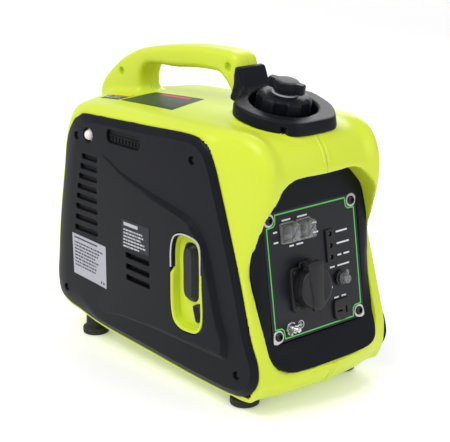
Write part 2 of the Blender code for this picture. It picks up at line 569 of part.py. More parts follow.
groove, flange = GROOVE_RADIUS - 2.2, GROOVE_RADIUS + 3
pulley_section = [(6.5, 7), (flange, 7), (flange, 4.5), (groove, 3), (groove, -3), (flange, -4.5), (flange, -7),
                  (6.5, -7), (6.5, 7)]
turned("starter_pulley", pulley_section, PULLEY, "Y", BLACK, 20)
housing_section = [(4, 14), (44, 14), (46.5, 12), (46.5, -12), (43.5, -12), (43.5, 11), (6, 11), (6, -8), (4, -8),
                   (4, 14)]
housing = turned("starter_housing", housing_section, PULLEY, "Y", BLACK, 20)
housing.rotation_euler = (math.radians(90), 0, 0)
cut(housing, box("rope_exit", (-60, ROPE_Y - 5, ROPE_Z - 6), (-20, ROPE_Y + 5, ROPE_Z + 12), BLACK))

paddle = [(CHOKE_Y - 7, CHOKE_Z + 8), (CHOKE_Y + 2, CHOKE_Z + 6), (CHOKE_Y + 6, CHOKE_Z),
          (CHOKE_Y + 2, CHOKE_Z - 9.5), (CHOKE_Y - 4, CHOKE_Z - 8.5), (CHOKE_Y - 9, CHOKE_Z)]
choke = prism("choke_lever", paddle, "YZ", -102, -93, BLACK, (-76, CHOKE_Y, CHOKE_Z))
join(choke, cylinder("choke_shaft", (-79, CHOKE_Y, CHOKE_Z), 3, 34, "X", BLACK, sides=16))
cut(recess, cylinder("choke_hole", (-66, CHOKE_Y, CHOKE_Z), 3.3, 20, "X", LIME, sides=16))
bulb_section = [(0, 8), (3.5, 7.2), (6.4, 3.6), (6.7, 0), (6.7, -7), (8.6, -7), (8.6, -9), (5.4, -9), (5.4, -1),
                (4.4, 3), (0, 6)]
primer = turned("primer_bulb", bulb_section, (-101, *PRIMER), "X", SILICONE, 12)
primer.rotation_euler = (0, math.radians(-90), 0)

# ---- engine and alternator, on a crankshaft that runs along Y ----
crankcase = box("crankcase", (-40, -18, 66), (40, 52, 152), ALLOY)
bevel(crankcase, 6, 1)
cut(crankcase, box("crank_chamber", (-34, -12, 72), (34, 46, 140), ALLOY),
    cylinder("crank_bore", (0, 17, CRANK_Z), 8.5, 90, "Y", ALLOY, sides=24))
cylinder_block = box("cylinder_head", (-26, -8, 152.3), (26, 42, 214), ALLOY)
for level in range(6):
    for side in (-1, 1):
        cut(cylinder_block, box(f"fin_gap_{level}_{side}", (side * 20, -12, 158 + level * 8),
                                (side * 30, 46, 161.5 + level * 8), ALLOY))
cut(cylinder_block, cylinder("cylinder_bore", (0, 17, 172), 19, 60, "Z", ALLOY, sides=24),
    cylinder("plug_hole", (32, 17, 207), 4.3, 40, "X", ALLOY, sides=12),
    cylinder("intake_port", (-32, 17, 200.5), 5, 40, "X", ALLOY, sides=12))
plug = turned("spark_plug", [(0, 34), (3, 34), (3, 26), (5, 24), (5, 12), (8.5, 11), (8.5, 0.3), (3.9, 0.3),
                             (3.9, -10), (0, -10)], (26, 17, 207), "X", CERAMIC, 12)
crankshaft = cylinder("crankshaft", (0, -8, CRANK_Z), 5.9, 116, "Y", STEEL, sides=16)
join(crankshaft, cylinder("crank_web", (0, 17, CRANK_Z), 22, 12, "Y", STEEL, sides=20))
rotor_section = [(6.2, 11), (52, 11), (56, 8), (56, -14), (52, -14), (52, 7), (6.2, 7), (6.2, 11)]
rotor = turned("alternator_rotor", rotor_section, (0, -37, CRANK_Z), "Y", STEEL, 18)
rotor.rotation_euler = (math.radians(90), 0, 0)
stator_section = [(12, 9), (49, 9), (49, -9), (12, -9), (12, 9)]
stator = turned("stator", stator_section, (0, -30, CRANK_Z), "Y", COPPER, 16)
bevel(box("carburettor", (-62, 2, 190), (-26.3, 32, 214), ALLOY), 2, 1)
bevel(box("air_filter_box", (-92, 0, 172), (-62.3, 88, 228), BLACK), 4, 1)
muffler = bevel(box("muffler", (-44, 96, 120), (44, 178, 214), STEEL), 14, 2)
join(muffler, cylinder("tail_pipe", (0, 190, TAIL_Z), 9, 50, "Y", STEEL, sides=16))
cut(muffler, cylinder("tail_bore", (0, 190, TAIL_Z), 7, 70, "Y", STEEL, sides=16),
    bevel(box("muffler_inside", (-42, 98, 122), (42, 176, 212), STEEL), 12, 1))
inverter = box("inverter_unit", (-58, -136, 66), (58, -97, 92), ALLOY)
for number in range(9):
    x = -52 + number * 13
    cut(inverter, box(f"heat_fin_gap_{number}", (x - 3, -140, 84), (x + 3, -90, 95), ALLOY))

grille = prism("rear_grille", rounded(90, 159.4, 3, 2, (0, 171.3)), "XZ", 199, 202, BLACK)
cut(grille, cylinder("tail_window", (0, 200, TAIL_Z), 10.5, 20, "Y", BLACK, sides=16))
for number in range(9):
    z = TAIL_Z + (number - 4) * 16
    cut(grille, box(f"grille_slot_{number}", (-36, 190, z - 3.7), (36, 210, z + 3.7), BLACK))

# ---- feet ----
for label_y, y, top in (("front", FOOT_FRONT_Y, 12.0), ("rear", FOOT_REAR_Y, 24.0)):
    for label_x, side in (("left", -1), ("right", 1)):
        section = [(0, top + 12), (4, top + 12), (4, top), (12, top), (13, top - 3), (FOOT_RADIUS, 7),
                   (FOOT_RADIUS, 1.5), (15.5, 0), (0, 0)]
        turned(f"foot_{label_y}_{label_x}", section, (side * FOOT_X, y, 0), "Z", RUBBER, 14)
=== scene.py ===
import math

import bmesh
import bpy
import numpy as np
from mathutils import Matrix, Vector, geometry
from mathutils.bvhtree import BVHTree


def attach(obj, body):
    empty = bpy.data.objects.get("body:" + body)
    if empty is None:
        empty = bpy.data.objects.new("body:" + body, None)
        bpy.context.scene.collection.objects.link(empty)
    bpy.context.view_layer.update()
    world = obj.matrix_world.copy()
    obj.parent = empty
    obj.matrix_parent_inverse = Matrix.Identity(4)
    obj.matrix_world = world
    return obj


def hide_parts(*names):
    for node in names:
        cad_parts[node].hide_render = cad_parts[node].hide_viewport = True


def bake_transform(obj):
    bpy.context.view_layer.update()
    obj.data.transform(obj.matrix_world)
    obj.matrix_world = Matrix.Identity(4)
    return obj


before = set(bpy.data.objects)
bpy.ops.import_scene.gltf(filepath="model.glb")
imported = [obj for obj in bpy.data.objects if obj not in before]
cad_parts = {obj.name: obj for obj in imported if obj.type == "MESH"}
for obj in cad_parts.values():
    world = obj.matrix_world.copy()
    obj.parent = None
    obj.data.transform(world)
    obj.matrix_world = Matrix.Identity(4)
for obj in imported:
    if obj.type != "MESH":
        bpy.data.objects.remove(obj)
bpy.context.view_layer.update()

# ==== floor, light and camera =======================================================================
# The generator stands on a pale studio sweep under two large soft boxes, one high on its left and one
# in front, with a weak one behind it on the right.
scene = bpy.context.scene
MM = 0.001
CASE_SHIFT = -7.5   # the case is drawn around its hand gap; this centres its length, as in the CAD


def studio_sweep():
    reach, height, bend = 2.6, 2.0, 0.5
    profile = [(-reach, 0.0)]
    profile += [(reach - bend + bend * math.sin(a), bend - bend * math.cos(a))
                for a in np.linspace(0, math.pi / 2, 24)]
    profile += [(reach, height)]
    bm = bmesh.new()
    turn = Matrix.Rotation(math.radians(-40), 3, "Z")
    rows = [[bm.verts.new(turn @ Vector((x, y, z))) for x in (-4.0, 4.0)] for y, z in profile]
    for (a, b), (c, d) in zip(rows, rows[1:]):
        bm.faces.new((a, b, d, c))
    mesh = bpy.data.meshes.new("studio_sweep")
    bm.to_mesh(mesh)
    bm.free()
    mesh.shade_smooth()
    sweep = bpy.data.objects.new("studio_sweep", mesh)
    scene.collection.objects.link(sweep)
    material = bpy.data.materials.new("studio_paper")
    material.use_nodes = True
    shader = material.node_tree.nodes["Principled BSDF"]
    shader.inputs["Base Color"].default_value = (0.90, 0.90, 0.90, 1)
    shader.inputs["Roughness"].default_value = 0.55
    shader.inputs["Specular IOR Level"].default_value = 0.3
    shader.inputs["Emission Color"].default_value = (1.0, 1.0, 1.0, 1)
    shader.inputs["Emission Strength"].default_value = 0.22
    mesh.materials.append(material)


def soft_box(name, place, aim, size, power):
    lamp = bpy.data.lights.new(name, "AREA")
    lamp.shape = "RECTANGLE"
    lamp.size, lamp.size_y = size
    lamp.energy = power
    item = bpy.data.objects.new(name, lamp)
    item.location = place
    item.rotation_euler = (Vector(aim) - Vector(place)).to_track_quat("-Z", "Y").to_euler()
    scene.collection.objects.link(item)


studio_sweep()
soft_box("key_box", (-1.1, -0.1, 1.75), (0, 0, 0.2), (1.1, 1.1), 20)
soft_box("front_box", (0.5, -1.9, 1.0), (0, 0, 0.2), (1.0, 1.0), 7)
soft_box("back_box", (1.5, 0.9, 1.2), (0, 0, 0.2), (1.0, 1.0), 12)
scene.world = bpy.data.worlds.new("studio_air")
scene.world.use_nodes = True
air = scene.world.node_tree.nodes["Background"]
air.inputs["Color"].default_value = (1.0, 1.0, 1.0, 1)
glow = scene.world.node_tree.nodes.new("ShaderNodeMapRange")
glow.inputs["To Min"].default_value = 0.62
glow.inputs["To Max"].default_value = 1.0
path = scene.world.node_tree.nodes.new("ShaderNodeLightPath")
scene.world.node_tree.links.new(path.outputs["Is Camera Ray"], glow.inputs["Value"])
scene.world.node_tree.links.new(glow.outputs["Result"], air.inputs["Strength"])

VIEW_AZIMUTH, VIEW_HEIGHT, VIEW_ROLL = -40.47, 16.73, -0.29
VIEW_DISTANCE, VIEW_LENS = 1.54948, 101.6
camera = bpy.data.objects.new("camera", bpy.data.cameras.new("camera"))
camera.data.lens = VIEW_LENS
camera.data.sensor_width = 36
scene.collection.objects.link(camera)
aim = Vector((0.0146, CASE_SHIFT * MM, 0.16488))
azimuth, height = math.radians(VIEW_AZIMUTH), math.radians(VIEW_HEIGHT)
back = Vector((math.sin(azimuth) * math.cos(height), -math.cos(azimuth) * math.cos(height), math.sin(height)))
camera.location = aim + back * VIEW_DISTANCE
camera.rotation_mode = "QUATERNION"
camera.rotation_quaternion = ((-back).to_track_quat("-Z", "Y")
                              @ Matrix.Rotation(math.radians(VIEW_ROLL), 4, "Z").to_quaternion())
scene.camera = camera
scene.view_settings.view_transform = "Standard"

# ==== case halves ===================================================================================
# Two injection-moulded halves in lime ABS, screwed together on the centre line, with the carry handle
# moulded in. The skin is found where a distance field is zero: side outlines swept across the width,
# a rounded arch for the handle, and pockets for the panel, filler, starter and exhaust.
CASE_HALF, HANDLE_HALF = 100.0, 17.5
CASE_GRID = 2.6
SEAM_HALF = 0.22
FILLER, FILLER_TILT = (0.0, -118.0, 331.0), math.radians(12.6)
COLLAR_THICKNESS, WELL_RADIUS = 14.4, 38.8
PANEL_FOOT, PANEL_TILT = (-170.2, 152.3), math.radians(7.9)
CASE_OUTLINES = {
    100: [(-176, 18), (-184, 30), (-189, 50), (-188, 72), (-181, 97), (-163, 158), (-148, 204), (-132, 252),
          (-121, 282), (-111, 298), (-96, 306), (-76, 307.5), (-5, 305), (93, 301), (128, 299), (140, 295),
          (154, 284), (166, 263), (176, 217), (189, 155), (196, 106), (200, 70), (194, 48), (177, 38),
          (152, 34), (109, 27), (5, 21), (-89, 16), (-133, 16)],
    87: [(-172, 17), (-181, 27), (-189, 40), (-191, 58), (-188, 79), (-165, 159), (-176, 205), (-184, 245),
         (-183, 270), (-175, 291), (-160, 304), (-128, 311), (-5, 311), (93, 307.5), (135, 305), (155, 300),
         (168, 290), (180, 268), (191, 220), (203, 157), (210, 107), (213, 70), (208, 46), (190, 32),
         (152, 28), (109, 22), (5, 16), (-89, 13), (-133, 13)],
    60: [(-176, 16), (-188, 26), (-195, 38), (-197, 50), (-193, 79), (-172, 159), (-180, 205), (-186, 245),
         (-186, 270), (-178, 292), (-162, 305), (-128, 312), (-5, 312.5), (93, 309), (145, 306), (172, 300),
         (186, 290), (195, 268), (203, 220), (213, 157), (219, 107), (221, 70), (216, 46), (197, 31),
         (152, 26), (109, 20), (5, 14), (-89, 12), (-133, 12)],
    0: [(-180, 16), (-194, 26), (-203, 38), (-207, 50), (-203, 79), (-180, 159), (-186, 205), (-190, 245),
        (-189, 270), (-181, 293), (-165, 306), (-128, 313), (-5, 313.5), (93, 311), (150, 308), (186, 302),
        (204, 292), (211, 270), (215, 220), (219, 157), (221, 107), (222, 70), (219, 46), (200, 31),
        (152, 26), (109, 20), (5, 14), (-89, 12), (-133, 12)]}
HANDLE_OUTLINE = [
    (-76, 296), (-69, 322), (-64, 345), (-60, 366), (-56, 376), (-46, 380.5), (-27, 381), (17, 380),
    (74, 374), (124, 365), (146, 357), (168, 346), (190, 330), (206, 315), (212, 300), (204, 290), (128, 296),
    (125, 318), (122, 335), (112, 346), (90, 349), (58, 350), (24, 353.5), (-4, 355), (-24, 354),
    (-36, 346), (-46, 335), (-53, 322), (-58, 308), (-60, 294)]
FRONT_OPENING = [
    (0, 264), (42, 264), (52, 261), (60.5, 256), (70, 246.5), (80.5, 233), (86, 207), (89, 181),
    (89.5, 159), (87, 130), (85.5, 97), (84.5, 79), (81, 66), (73, 56.5), (60, 51), (30, 49.2), (0, 49)]
RECESS_OUTLINE = [
    (-69, 191.5), (-86, 192), (-98, 189), (-104, 182), (-105, 150), (-107, 100), (-104, 87), (-95, 78),
    (-81, 75.5), (-66, 76), (-55, 82), (-50, 94), (-49.5, 140), (-51, 173), (-57, 186)]
COLLAR_PLAN = [
    (0, -172), (26, -170.5), (34, -166), (42, -157), (51, -145), (56, -133), (58.5, -118), (59, -108),
    (56, -98), (49, -91), (36, -83), (27, -77), (20.5, -72)]
PRIMER_PLACE = (112, 271.5)
HANDLE_SCREWS = [(163, 332), (-43, 363)]


def rounded_path(points, steps=5, closed=True):
    """A smooth curve through given points, as a draughtsman's spline would run."""
    p = np.array(points, float)
    count = len(p)
    result = []
    for i in range(count if closed else count - 1):
        if closed:
            a, b, c, d = p[i - 1], p[i], p[(i + 1) % count], p[(i + 2) % count]
        else:
            a, b, c, d = p[max(i - 1, 0)], p[i], p[i + 1], p[min(i + 2, count - 1)]
        one, two, three = (max(np.linalg.norm(q - r), 1e-6) ** 0.5 for q, r in ((b, a), (c, b), (d, c)))
        lead = (b - a) / one - (c - a) / (one + two) + (c - b) / two
        trail = (c - b) / two - (d - b) / (two + three) + (d - c) / three
        for t in np.arange(steps) / steps:
            h = t * t * (3 - 2 * t)
            result.append(b * (1 - h) + c * h + two * (t * (1 - t) ** 2 * lead - t * t * (1 - t) * trail))
    if not closed:
        result.append(p[-1])
    return np.array(result)


def outline_distance(outline, u, v):
    """Signed distance from points to a closed outline in a plane, negative inside it."""
    best = np.full(u.shape, 1e12)
    inside = np.zeros(u.shape, bool)
    for (a, b), (c, d) in zip(outline, np.roll(outline, -1, axis=0)):
        du, dv = c - a, d - b
        t = np.clip(((u - a) * du + (v - b) * dv) / (du * du + dv * dv), 0, 1)
        best = np.minimum(best, (u - a - t * du) ** 2 + (v - b - t * dv) ** 2)
        if dv:
            inside ^= ((b > v) != (d > v)) & (u < du * (v - b) / dv + a)
    return np.where(inside, -1, 1) * np.sqrt(best)


def soft_join(a, b, radius):
    """Union of two solids with a fillet of about the given radius."""
    h = np.clip(0.5 + 0.5 * (b - a) / radius, 0, 1)
    return b + (a - b) * h - radius * h * (1 - h)


def soft_cut(a, b, radius):
    """Solid a without solid b, with the edge rounded."""
    return -soft_join(-a, b, radius)


def mirror_outline(half):
    return half + [(-u, v) for u, v in half[-2:0:-1]]


def offset_outline(outline, distance):
    """Moves a closed outline inwards, or outwards when the distance is negative."""
    p = np.array(outline, float)
    ahead = np.roll(p, -1, axis=0) - p
    area = np.sum(p[:, 0] * np.roll(p[:, 1], -1) - np.roll(p[:, 0], -1) * p[:, 1])
    ahead /= np.linalg.norm(ahead, axis=1)[:, None] + 1e-9
    behind = np.roll(ahead, 1, axis=0)
    normal = np.stack([-(ahead + behind)[:, 1], (ahead + behind)[:, 0]], 1) * np.sign(area)
    normal /= np.linalg.norm(normal, axis=1)[:, None] + 1e-9
    edge = np.stack([-behind[:, 1], behind[:, 0]], 1) * np.sign(area)
    stretch = np.clip(np.sum(normal * edge, 1), 0.45, 1)
    return p + normal * (distance / stretch)[:, None]


def skin(field, low, high, step):
    """Quads of the surface where a sampled field is zero, pulled onto it: naive surface nets."""
    axes = [np.arange(a, b + step, step) for a, b in zip(low, high)]
    f = field(*axes)
    corner = [(i, j, k) for i in (0, 1) for j in (0, 1) for k in (0, 1)]
    size = [n - 1 for n in f.shape]
    parts = [f[i:i + size[0], j:j + size[1], k:k + size[2]] for i, j, k in corner]
    signs = sum((part < 0).astype(np.int8) for part in parts)
    cells = np.argwhere((signs > 0) & (signs < 8))
    values = np.stack([part[tuple(cells.T)] for part in parts], 1)
    total, hits = np.zeros((len(cells), 3)), np.zeros(len(cells))
    for m, one in enumerate(corner):
        for n, two in enumerate(corner):
            if n > m and sum(a != b for a, b in zip(one, two)) == 1:
                a, b = values[:, m], values[:, n]
                crossing = (a < 0) != (b < 0)
                t = np.where(crossing, a / np.where(a == b, 1, a - b), 0)[:, None]
                total += np.where(crossing[:, None], np.array(one) + t * (np.array(two) - np.array(one)), 0)
                hits += crossing
    points = cells + total / hits[:, None]
    limit = np.array(f.shape) - 1.001
    for _ in range(3):
        points = np.clip(points, 0, limit)
        cell = points.astype(int)
        w = points - cell
        near = {c: f[cell[:, 0] + c[0], cell[:, 1] + c[1], cell[:, 2] + c[2]] for c in corner}
        value, slope = 0, np.zeros((len(points), 3))
        for c in corner:
            share = [w[:, a] if c[a] else 1 - w[:, a] for a in range(3)]
            value = value + near[c] * share[0] * share[1] * share[2]
            for a in range(3):
                others = share[(a + 1) % 3] * share[(a + 2) % 3]
                slope[:, a] += near[c] * others * (1 if c[a] else -1)
        move = slope * (value / (np.sum(slope ** 2, 1) + 1e-6))[:, None]
        points -= np.clip(move, -0.5, 0.5)
    number = np.full(size, -1)
    number[tuple(cells.T)] = np.arange(len(cells))
    faces = []
    for axis in range(3):
        a = np.moveaxis(f, axis, 0)
        change = (a[:-1] < 0) != (a[1:] < 0)
        edges = np.argwhere(change[:, 1:-1, 1:-1]) + (0, 1, 1)
        ring = np.moveaxis(number, axis, 0)
        i, j, k = edges.T
        quad = np.stack([ring[i, j - 1, k - 1], ring[i, j, k - 1], ring[i, j, k], ring[i, j - 1, k]], 1)
        outward = (a[:-1] < 0)[i, j, k]
        faces.append(np.where(outward[:, None], quad, quad[:, ::-1]))
    origin = np.array([axis[0] for axis in axes])
    return origin + points * step, np.concatenate(faces)


def across(x, field_at):
    """Field of the case at |x| from its outlines, joined by a smooth curve across the width."""
    stations = sorted(field_at)
    a = np.abs(x)
    mirrored_stations = [-stations[1]] + stations + [2 * stations[-1] - stations[-2]]
    values = [field_at[stations[1]]] + [field_at[s] for s in stations]
    values.append(2 * field_at[stations[-1]] - field_at[stations[-2]])
    result = 0
    last = len(stations) - 2
    for n in range(last + 1):
        p0, p1, p2, p3 = mirrored_stations[n:n + 4]
        f0, f1, f2, f3 = values[n:n + 4]
        chosen = (a >= p1) & ((a < p2) if n < last else True)
        t = np.clip((a - p1) / (p2 - p1), 0, 1.5)
        lead = (f2 - f0) * (p2 - p1) / (p2 - p0)
        trail = (f3 - f1) * (p2 - p1) / (p3 - p1)
        h00, h10 = 2 * t ** 3 - 3 * t ** 2 + 1, t ** 3 - 2 * t ** 2 + t
        h01, h11 = -2 * t ** 3 + 3 * t ** 2, t ** 3 - t ** 2
        result = result + np.where(chosen, h00 * f1 + h10 * lead + h01 * f2 + h11 * trail, 0)
    return result


def arch(outline_field, sideways, half, rounding):
    """A flat outline given thickness and rounded edges."""
    u, w = outline_field + rounding, np.abs(sideways) - half + rounding
    return np.minimum(np.maximum(u, w), 0) + np.hypot(np.maximum(u, 0), np.maximum(w, 0)) - rounding


def collar_height(y):
    return FILLER[2] + (y - FILLER[1]) * math.tan(FILLER_TILT)


def filler_radius(x, y, z):
    """Distance from the leaning axis of the filler."""
    across_axis = (y - FILLER[1]) * math.cos(FILLER_TILT) + (z - FILLER[2]) * math.sin(FILLER_TILT)
    return np.hypot(x, across_axis)


def case_field(x, y, z):
    flat_y, flat_z = np.meshgrid(y, z, indexing="ij")
    outlines = {station: outline_distance(rounded_path(points), flat_y, flat_z)[None]
                for station, points in CASE_OUTLINES.items()}
    X, Y, Z = x[:, None, None], y[None, :, None], z[None, None, :]
    body = across(X, outlines)
    side = np.abs(X) - CASE_HALF
    body = -soft_join(-body, -side + 0 * body, 3.0)
    handle = arch(outline_distance(rounded_path(HANDLE_OUTLINE), flat_y, flat_z)[None], X, HANDLE_HALF, 8.0)
    body = soft_join(body, handle, 13.0)
    flat_x, flat_z = np.meshgrid(x, z, indexing="ij")
    mouth = outline_distance(rounded_path(mirror_outline(FRONT_OPENING), 3), flat_x, flat_z)[:, None, :]
    floor = Y - (PANEL_FOOT[0] + (Z - PANEL_FOOT[1]) * math.tan(PANEL_TILT) + 24)
    body = soft_cut(body, np.maximum(mouth, floor), 3.0)
    plan_x, plan_y = np.meshgrid(x, y, indexing="ij")
    plinth_plan = mirror_outline(COLLAR_PLAN + [(0, -72)])
    plinth = outline_distance(rounded_path(offset_outline(plinth_plan, 0.6), 2), plan_x, plan_y)[:, :, None]
    ledge = (Z - collar_height(Y) + COLLAR_THICKNESS + 0.2) * math.cos(FILLER_TILT)
    body = soft_join(body, np.maximum(np.maximum(plinth - 0.16 * (collar_height(Y) - COLLAR_THICKNESS - Z), ledge),
                                      280 - Z), 5.0)
    filler = np.maximum(filler_radius(X, Y, Z) - WELL_RADIUS - 0.6, 294 - Z)
    rear = np.maximum(np.maximum(np.abs(X) - 45.6, np.abs(Z - 171.3) - 80.5), 197 - Y)
    body = soft_cut(soft_cut(body, filler, 1.5), rear, 6.0)
    flat_y, flat_z = np.meshgrid(y, z, indexing="ij")
    recess = outline_distance(offset_outline(RECESS_OUTLINE, 2.2), flat_y, flat_z)[None]
    body = np.maximum(body, -np.maximum(recess, X + 58))
    primer = np.maximum(np.hypot(Y - PRIMER_PLACE[0], Z - PRIMER_PLACE[1]) - 9.4, X + 82)
    body = np.maximum(body, -primer)
    for screw_y, screw_z in HANDLE_SCREWS:
        hole = np.maximum(np.hypot(Y - screw_y, Z - screw_z) - 5.2, 10.5 - np.abs(X))
        body = soft_cut(body, hole, 1.5)
    return body


def make(name, points, faces, materials=(), smooth=40.0):
    """An object in the shared frame from points in millimetres around the case."""
    place = (np.asarray(points, float) + (0, CASE_SHIFT, 0)) * MM
    mesh = bpy.data.meshes.new(name)
    mesh.from_pydata(place.tolist(), [], [list(map(int, face)) for face in faces])
    mesh.update()
    mesh.shade_smooth()
    mesh.set_sharp_from_angle(angle=math.radians(smooth))
    item = bpy.data.objects.new(name, mesh)
    scene.collection.objects.link(item)
    for material in materials:
        mesh.materials.append(material)
    return item


def group(name, inputs, outputs):
    """An empty shader node group with named sockets."""
    tree = bpy.data.node_groups.new(name, "ShaderNodeTree")
    for label, kind, value in inputs:
        socket = tree.interface.new_socket(label, in_out="INPUT", socket_type="NodeSocket" + kind)
        if value is not None:
            socket.default_value = value
    for label, kind in outputs:
        tree.interface.new_socket(label, in_out="OUTPUT", socket_type="NodeSocket" + kind)
    return tree, tree.nodes.new("NodeGroupInput"), tree.nodes.new("NodeGroupOutput")


def math_node(tree, operation, a, b=None, clamp=False):
    node = tree.nodes.new("ShaderNodeMath")
    node.operation = operation
    node.use_clamp = clamp
    for socket, value in zip(node.inputs, (a, b)):
        if value is None:
            continue
        if isinstance(value, (int, float)):
            socket.default_value = value
        else:
            tree.links.new(value, socket)
    return node.outputs[0]


def noise_node(tree, place, scale, detail=2.0, roughness=0.5):
    node = tree.nodes.new("ShaderNodeTexNoise")
    node.inputs["Scale"].default_value = scale
    node.inputs["Detail"].default_value = detail
    node.inputs["Roughness"].default_value = roughness
    tree.links.new(place, node.inputs["Vector"])
    return node.outputs["Fac"]


def build_moulded_grain():
    """Spark-eroded tool texture: a fine pebble height, slow flow marks, and a mask of convex edges, lightened partly
    as wear and partly as a painted edge highlight.
    """
    tree, start, end = group(
        "moulded_grain", [("Place", "Vector", None), ("Pebble", "Float", 1400.0), ("Flow", "Float", 9.0)],
        [("Height", "Float"), ("Cloud", "Float"), ("EdgeWearAndHighlight", "Float"), ("Dust", "Float")])
    links = tree.links
    pebble = tree.nodes.new("ShaderNodeTexVoronoi")
    pebble.feature = "SMOOTH_F1"
    links.new(start.outputs["Place"], pebble.inputs["Vector"])
    links.new(start.outputs["Pebble"], pebble.inputs["Scale"])
    links.new(pebble.outputs["Distance"], end.inputs["Height"])
    cloud = tree.nodes.new("ShaderNodeTexNoise")
    cloud.inputs["Detail"].default_value = 3.0
    links.new(start.outputs["Place"], cloud.inputs["Vector"])
    links.new(start.outputs["Flow"], cloud.inputs["Scale"])
    links.new(cloud.outputs["Fac"], end.inputs["Cloud"])
    surface = tree.nodes.new("ShaderNodeNewGeometry")
    edge = tree.nodes.new("ShaderNodeMapRange")
    edge.inputs["From Min"].default_value = 0.53
    edge.inputs["From Max"].default_value = 0.62
    links.new(surface.outputs["Pointiness"], edge.inputs["Value"])
    chip = noise_node(tree, start.outputs["Place"], 160.0, 3.0)
    links.new(math_node(tree, "MULTIPLY", edge.outputs["Result"], chip), end.inputs["EdgeWearAndHighlight"])
    up = tree.nodes.new("ShaderNodeSeparateXYZ")
    links.new(surface.outputs["Normal"], up.inputs["Vector"])
    settle = math_node(tree, "POWER", math_node(tree, "MAXIMUM", up.outputs["Z"], 0.0), 3.0)
    speck = math_node(tree, "GREATER_THAN", noise_node(tree, start.outputs["Place"], 700.0, 1.0), 0.68)
    links.new(math_node(tree, "MULTIPLY", settle, speck), end.inputs["Dust"])
    return tree


MOULDED_GRAIN = build_moulded_grain()


def mix_colour(tree, share, a, b):
    node = tree.nodes.new("ShaderNodeMix")
    node.data_type = "RGBA"
    for socket, value in ((node.inputs["Factor"], share), (node.inputs["A"], a), (node.inputs["B"], b)):
        if isinstance(value, tuple):
            socket.default_value = (*value, 1)
        elif isinstance(value, (int, float)):
            socket.default_value = value
        else:
            tree.links.new(value, socket)
    return node.outputs["Result"]


def moulded(name, colour, deep, edge_wear_and_highlight, rough, pebble, bump, dust=0.12, coat=0.0, gloss=0.5):
    """Moulded plastic: two close tones, a tool texture, edges lightened partly as wear and partly as a painted edge
    highlight, and a little dust.
    """
    material = bpy.data.materials.new(name)
    material.use_nodes = True
    tree = material.node_tree
    shader = tree.nodes["Principled BSDF"]
    place = tree.nodes.new("ShaderNodeTexCoord").outputs["Object"]
    grain = tree.nodes.new("ShaderNodeGroup")
    grain.node_tree = MOULDED_GRAIN
    grain.inputs["Pebble"].default_value = pebble
    tree.links.new(place, grain.inputs["Place"])
    base = mix_colour(tree, grain.outputs["Cloud"], colour, deep)
    # Convex edges lighten towards the third colour: partly wear, partly a painted edge highlight.
    worn_and_highlit = mix_colour(tree, grain.outputs["EdgeWearAndHighlight"], base, edge_wear_and_highlight)
    share = math_node(tree, "MULTIPLY", grain.outputs["Dust"], dust)
    tree.links.new(mix_colour(tree, share, worn_and_highlit, (0.5, 0.49, 0.46)), shader.inputs["Base Color"])
    spread = tree.nodes.new("ShaderNodeMapRange")
    spread.inputs["To Min"].default_value = rough - 0.05
    spread.inputs["To Max"].default_value = rough + 0.07
    tree.links.new(grain.outputs["Cloud"], spread.inputs["Value"])
    tree.links.new(spread.outputs["Result"], shader.inputs["Roughness"])
    relief = tree.nodes.new("ShaderNodeBump")
    relief.inputs["Strength"].default_value = bump
    relief.inputs["Distance"].default_value = 0.00012
    tree.links.new(grain.outputs["Height"], relief.inputs["Height"])
    tree.links.new(relief.outputs["Normal"], shader.inputs["Normal"])
    shader.inputs["Coat Weight"].default_value = coat
    shader.inputs["Specular IOR Level"].default_value = gloss
    shader.inputs["Coat Roughness"].default_value = 0.2
    return material


LIME_ABS = moulded("lime_abs", (0.63, 0.74, 0.040), (0.585, 0.70, 0.034), (0.74, 0.82, 0.16), 0.36, 1500.0, 0.25,
                   gloss=0.35)


def split_case(points, faces):
    """Cuts the closed skin on the seam, and caps each half on its flat joint face."""
    for label, side in (("left", -1), ("right", 1)):
        item = make(f"case_{label}", points, faces, [LIME_ABS], smooth=35.0)
        bm = bmesh.new()
        bm.from_mesh(item.data)
        geometry_all = bm.verts[:] + bm.edges[:] + bm.faces[:]
        bmesh.ops.bisect_plane(bm, geom=geometry_all, plane_co=(side * SEAM_HALF * MM, 0, 0),
                               plane_no=(-side, 0, 0), clear_outer=True)
        hidden = [face for face in bm.faces
                  if all(abs(abs(vert.co.x) / MM - CASE_HALF) < 0.05 for vert in face.verts)]
        bmesh.ops.delete(bm, geom=hidden, context="FACES")
        rim = [edge for edge in bm.edges if edge.is_boundary]
        bmesh.ops.triangle_fill(bm, edges=rim, use_beauty=False)
        bmesh.ops.recalc_face_normals(bm, faces=bm.faces)
        bm.to_mesh(item.data)
        bm.free()
        item.data.shade_smooth()
        item.data.set_sharp_from_angle(angle=math.radians(35))
        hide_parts(f"{label}_shell")
        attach(item, "case")


case_points, case_faces = skin(case_field, (-104, -214, 5), (104, 228, 387), CASE_GRID)
split_case(case_points, case_faces)

# ==== side covers ===================================================================================
# A black ABS cover closes each side, held by four screws set deep in round holes. Its edge slopes away,
# a raised field fades in from the rear, and two sets of slots let the cooling air in and out.
COVER_BACK, COVER_RIM, COVER_FACE, PLATEAU_RISE = 100.4, 101.5, 105.9, 5.0
COVER_OUTLINE = [
    (127, 295), (93, 297), (-5, 301), (-76, 304), (-93, 302), (-107, 294), (-117, 280), (-128, 251),
    (-159, 157), (-177, 93), (-188, 68), (-190, 51), (-182, 35), (-167, 24), (-152, 20), (-89, 20),
    (5, 25), (109, 31), (152, 38), (175, 42), (191, 51), (196, 70), (192, 105), (185, 154),
    (172, 216), (162, 262), (149, 282), (136, 291)]
PLATEAU_OUTLINE = [
    (90, 251), (48, 239), (-10, 226), (-55, 218), (-82, 212), (-94, 204), (-104, 194), (-113, 179),
    (-124, 144), (-135, 106), (-145, 82), (-142, 61), (-123, 58), (-97, 58), (-4, 58), (57, 56), (100, 54)]
COVER_SCREWS = [(137, 267), (-85, 276.5), (172.5, 62), (-158, 47)]
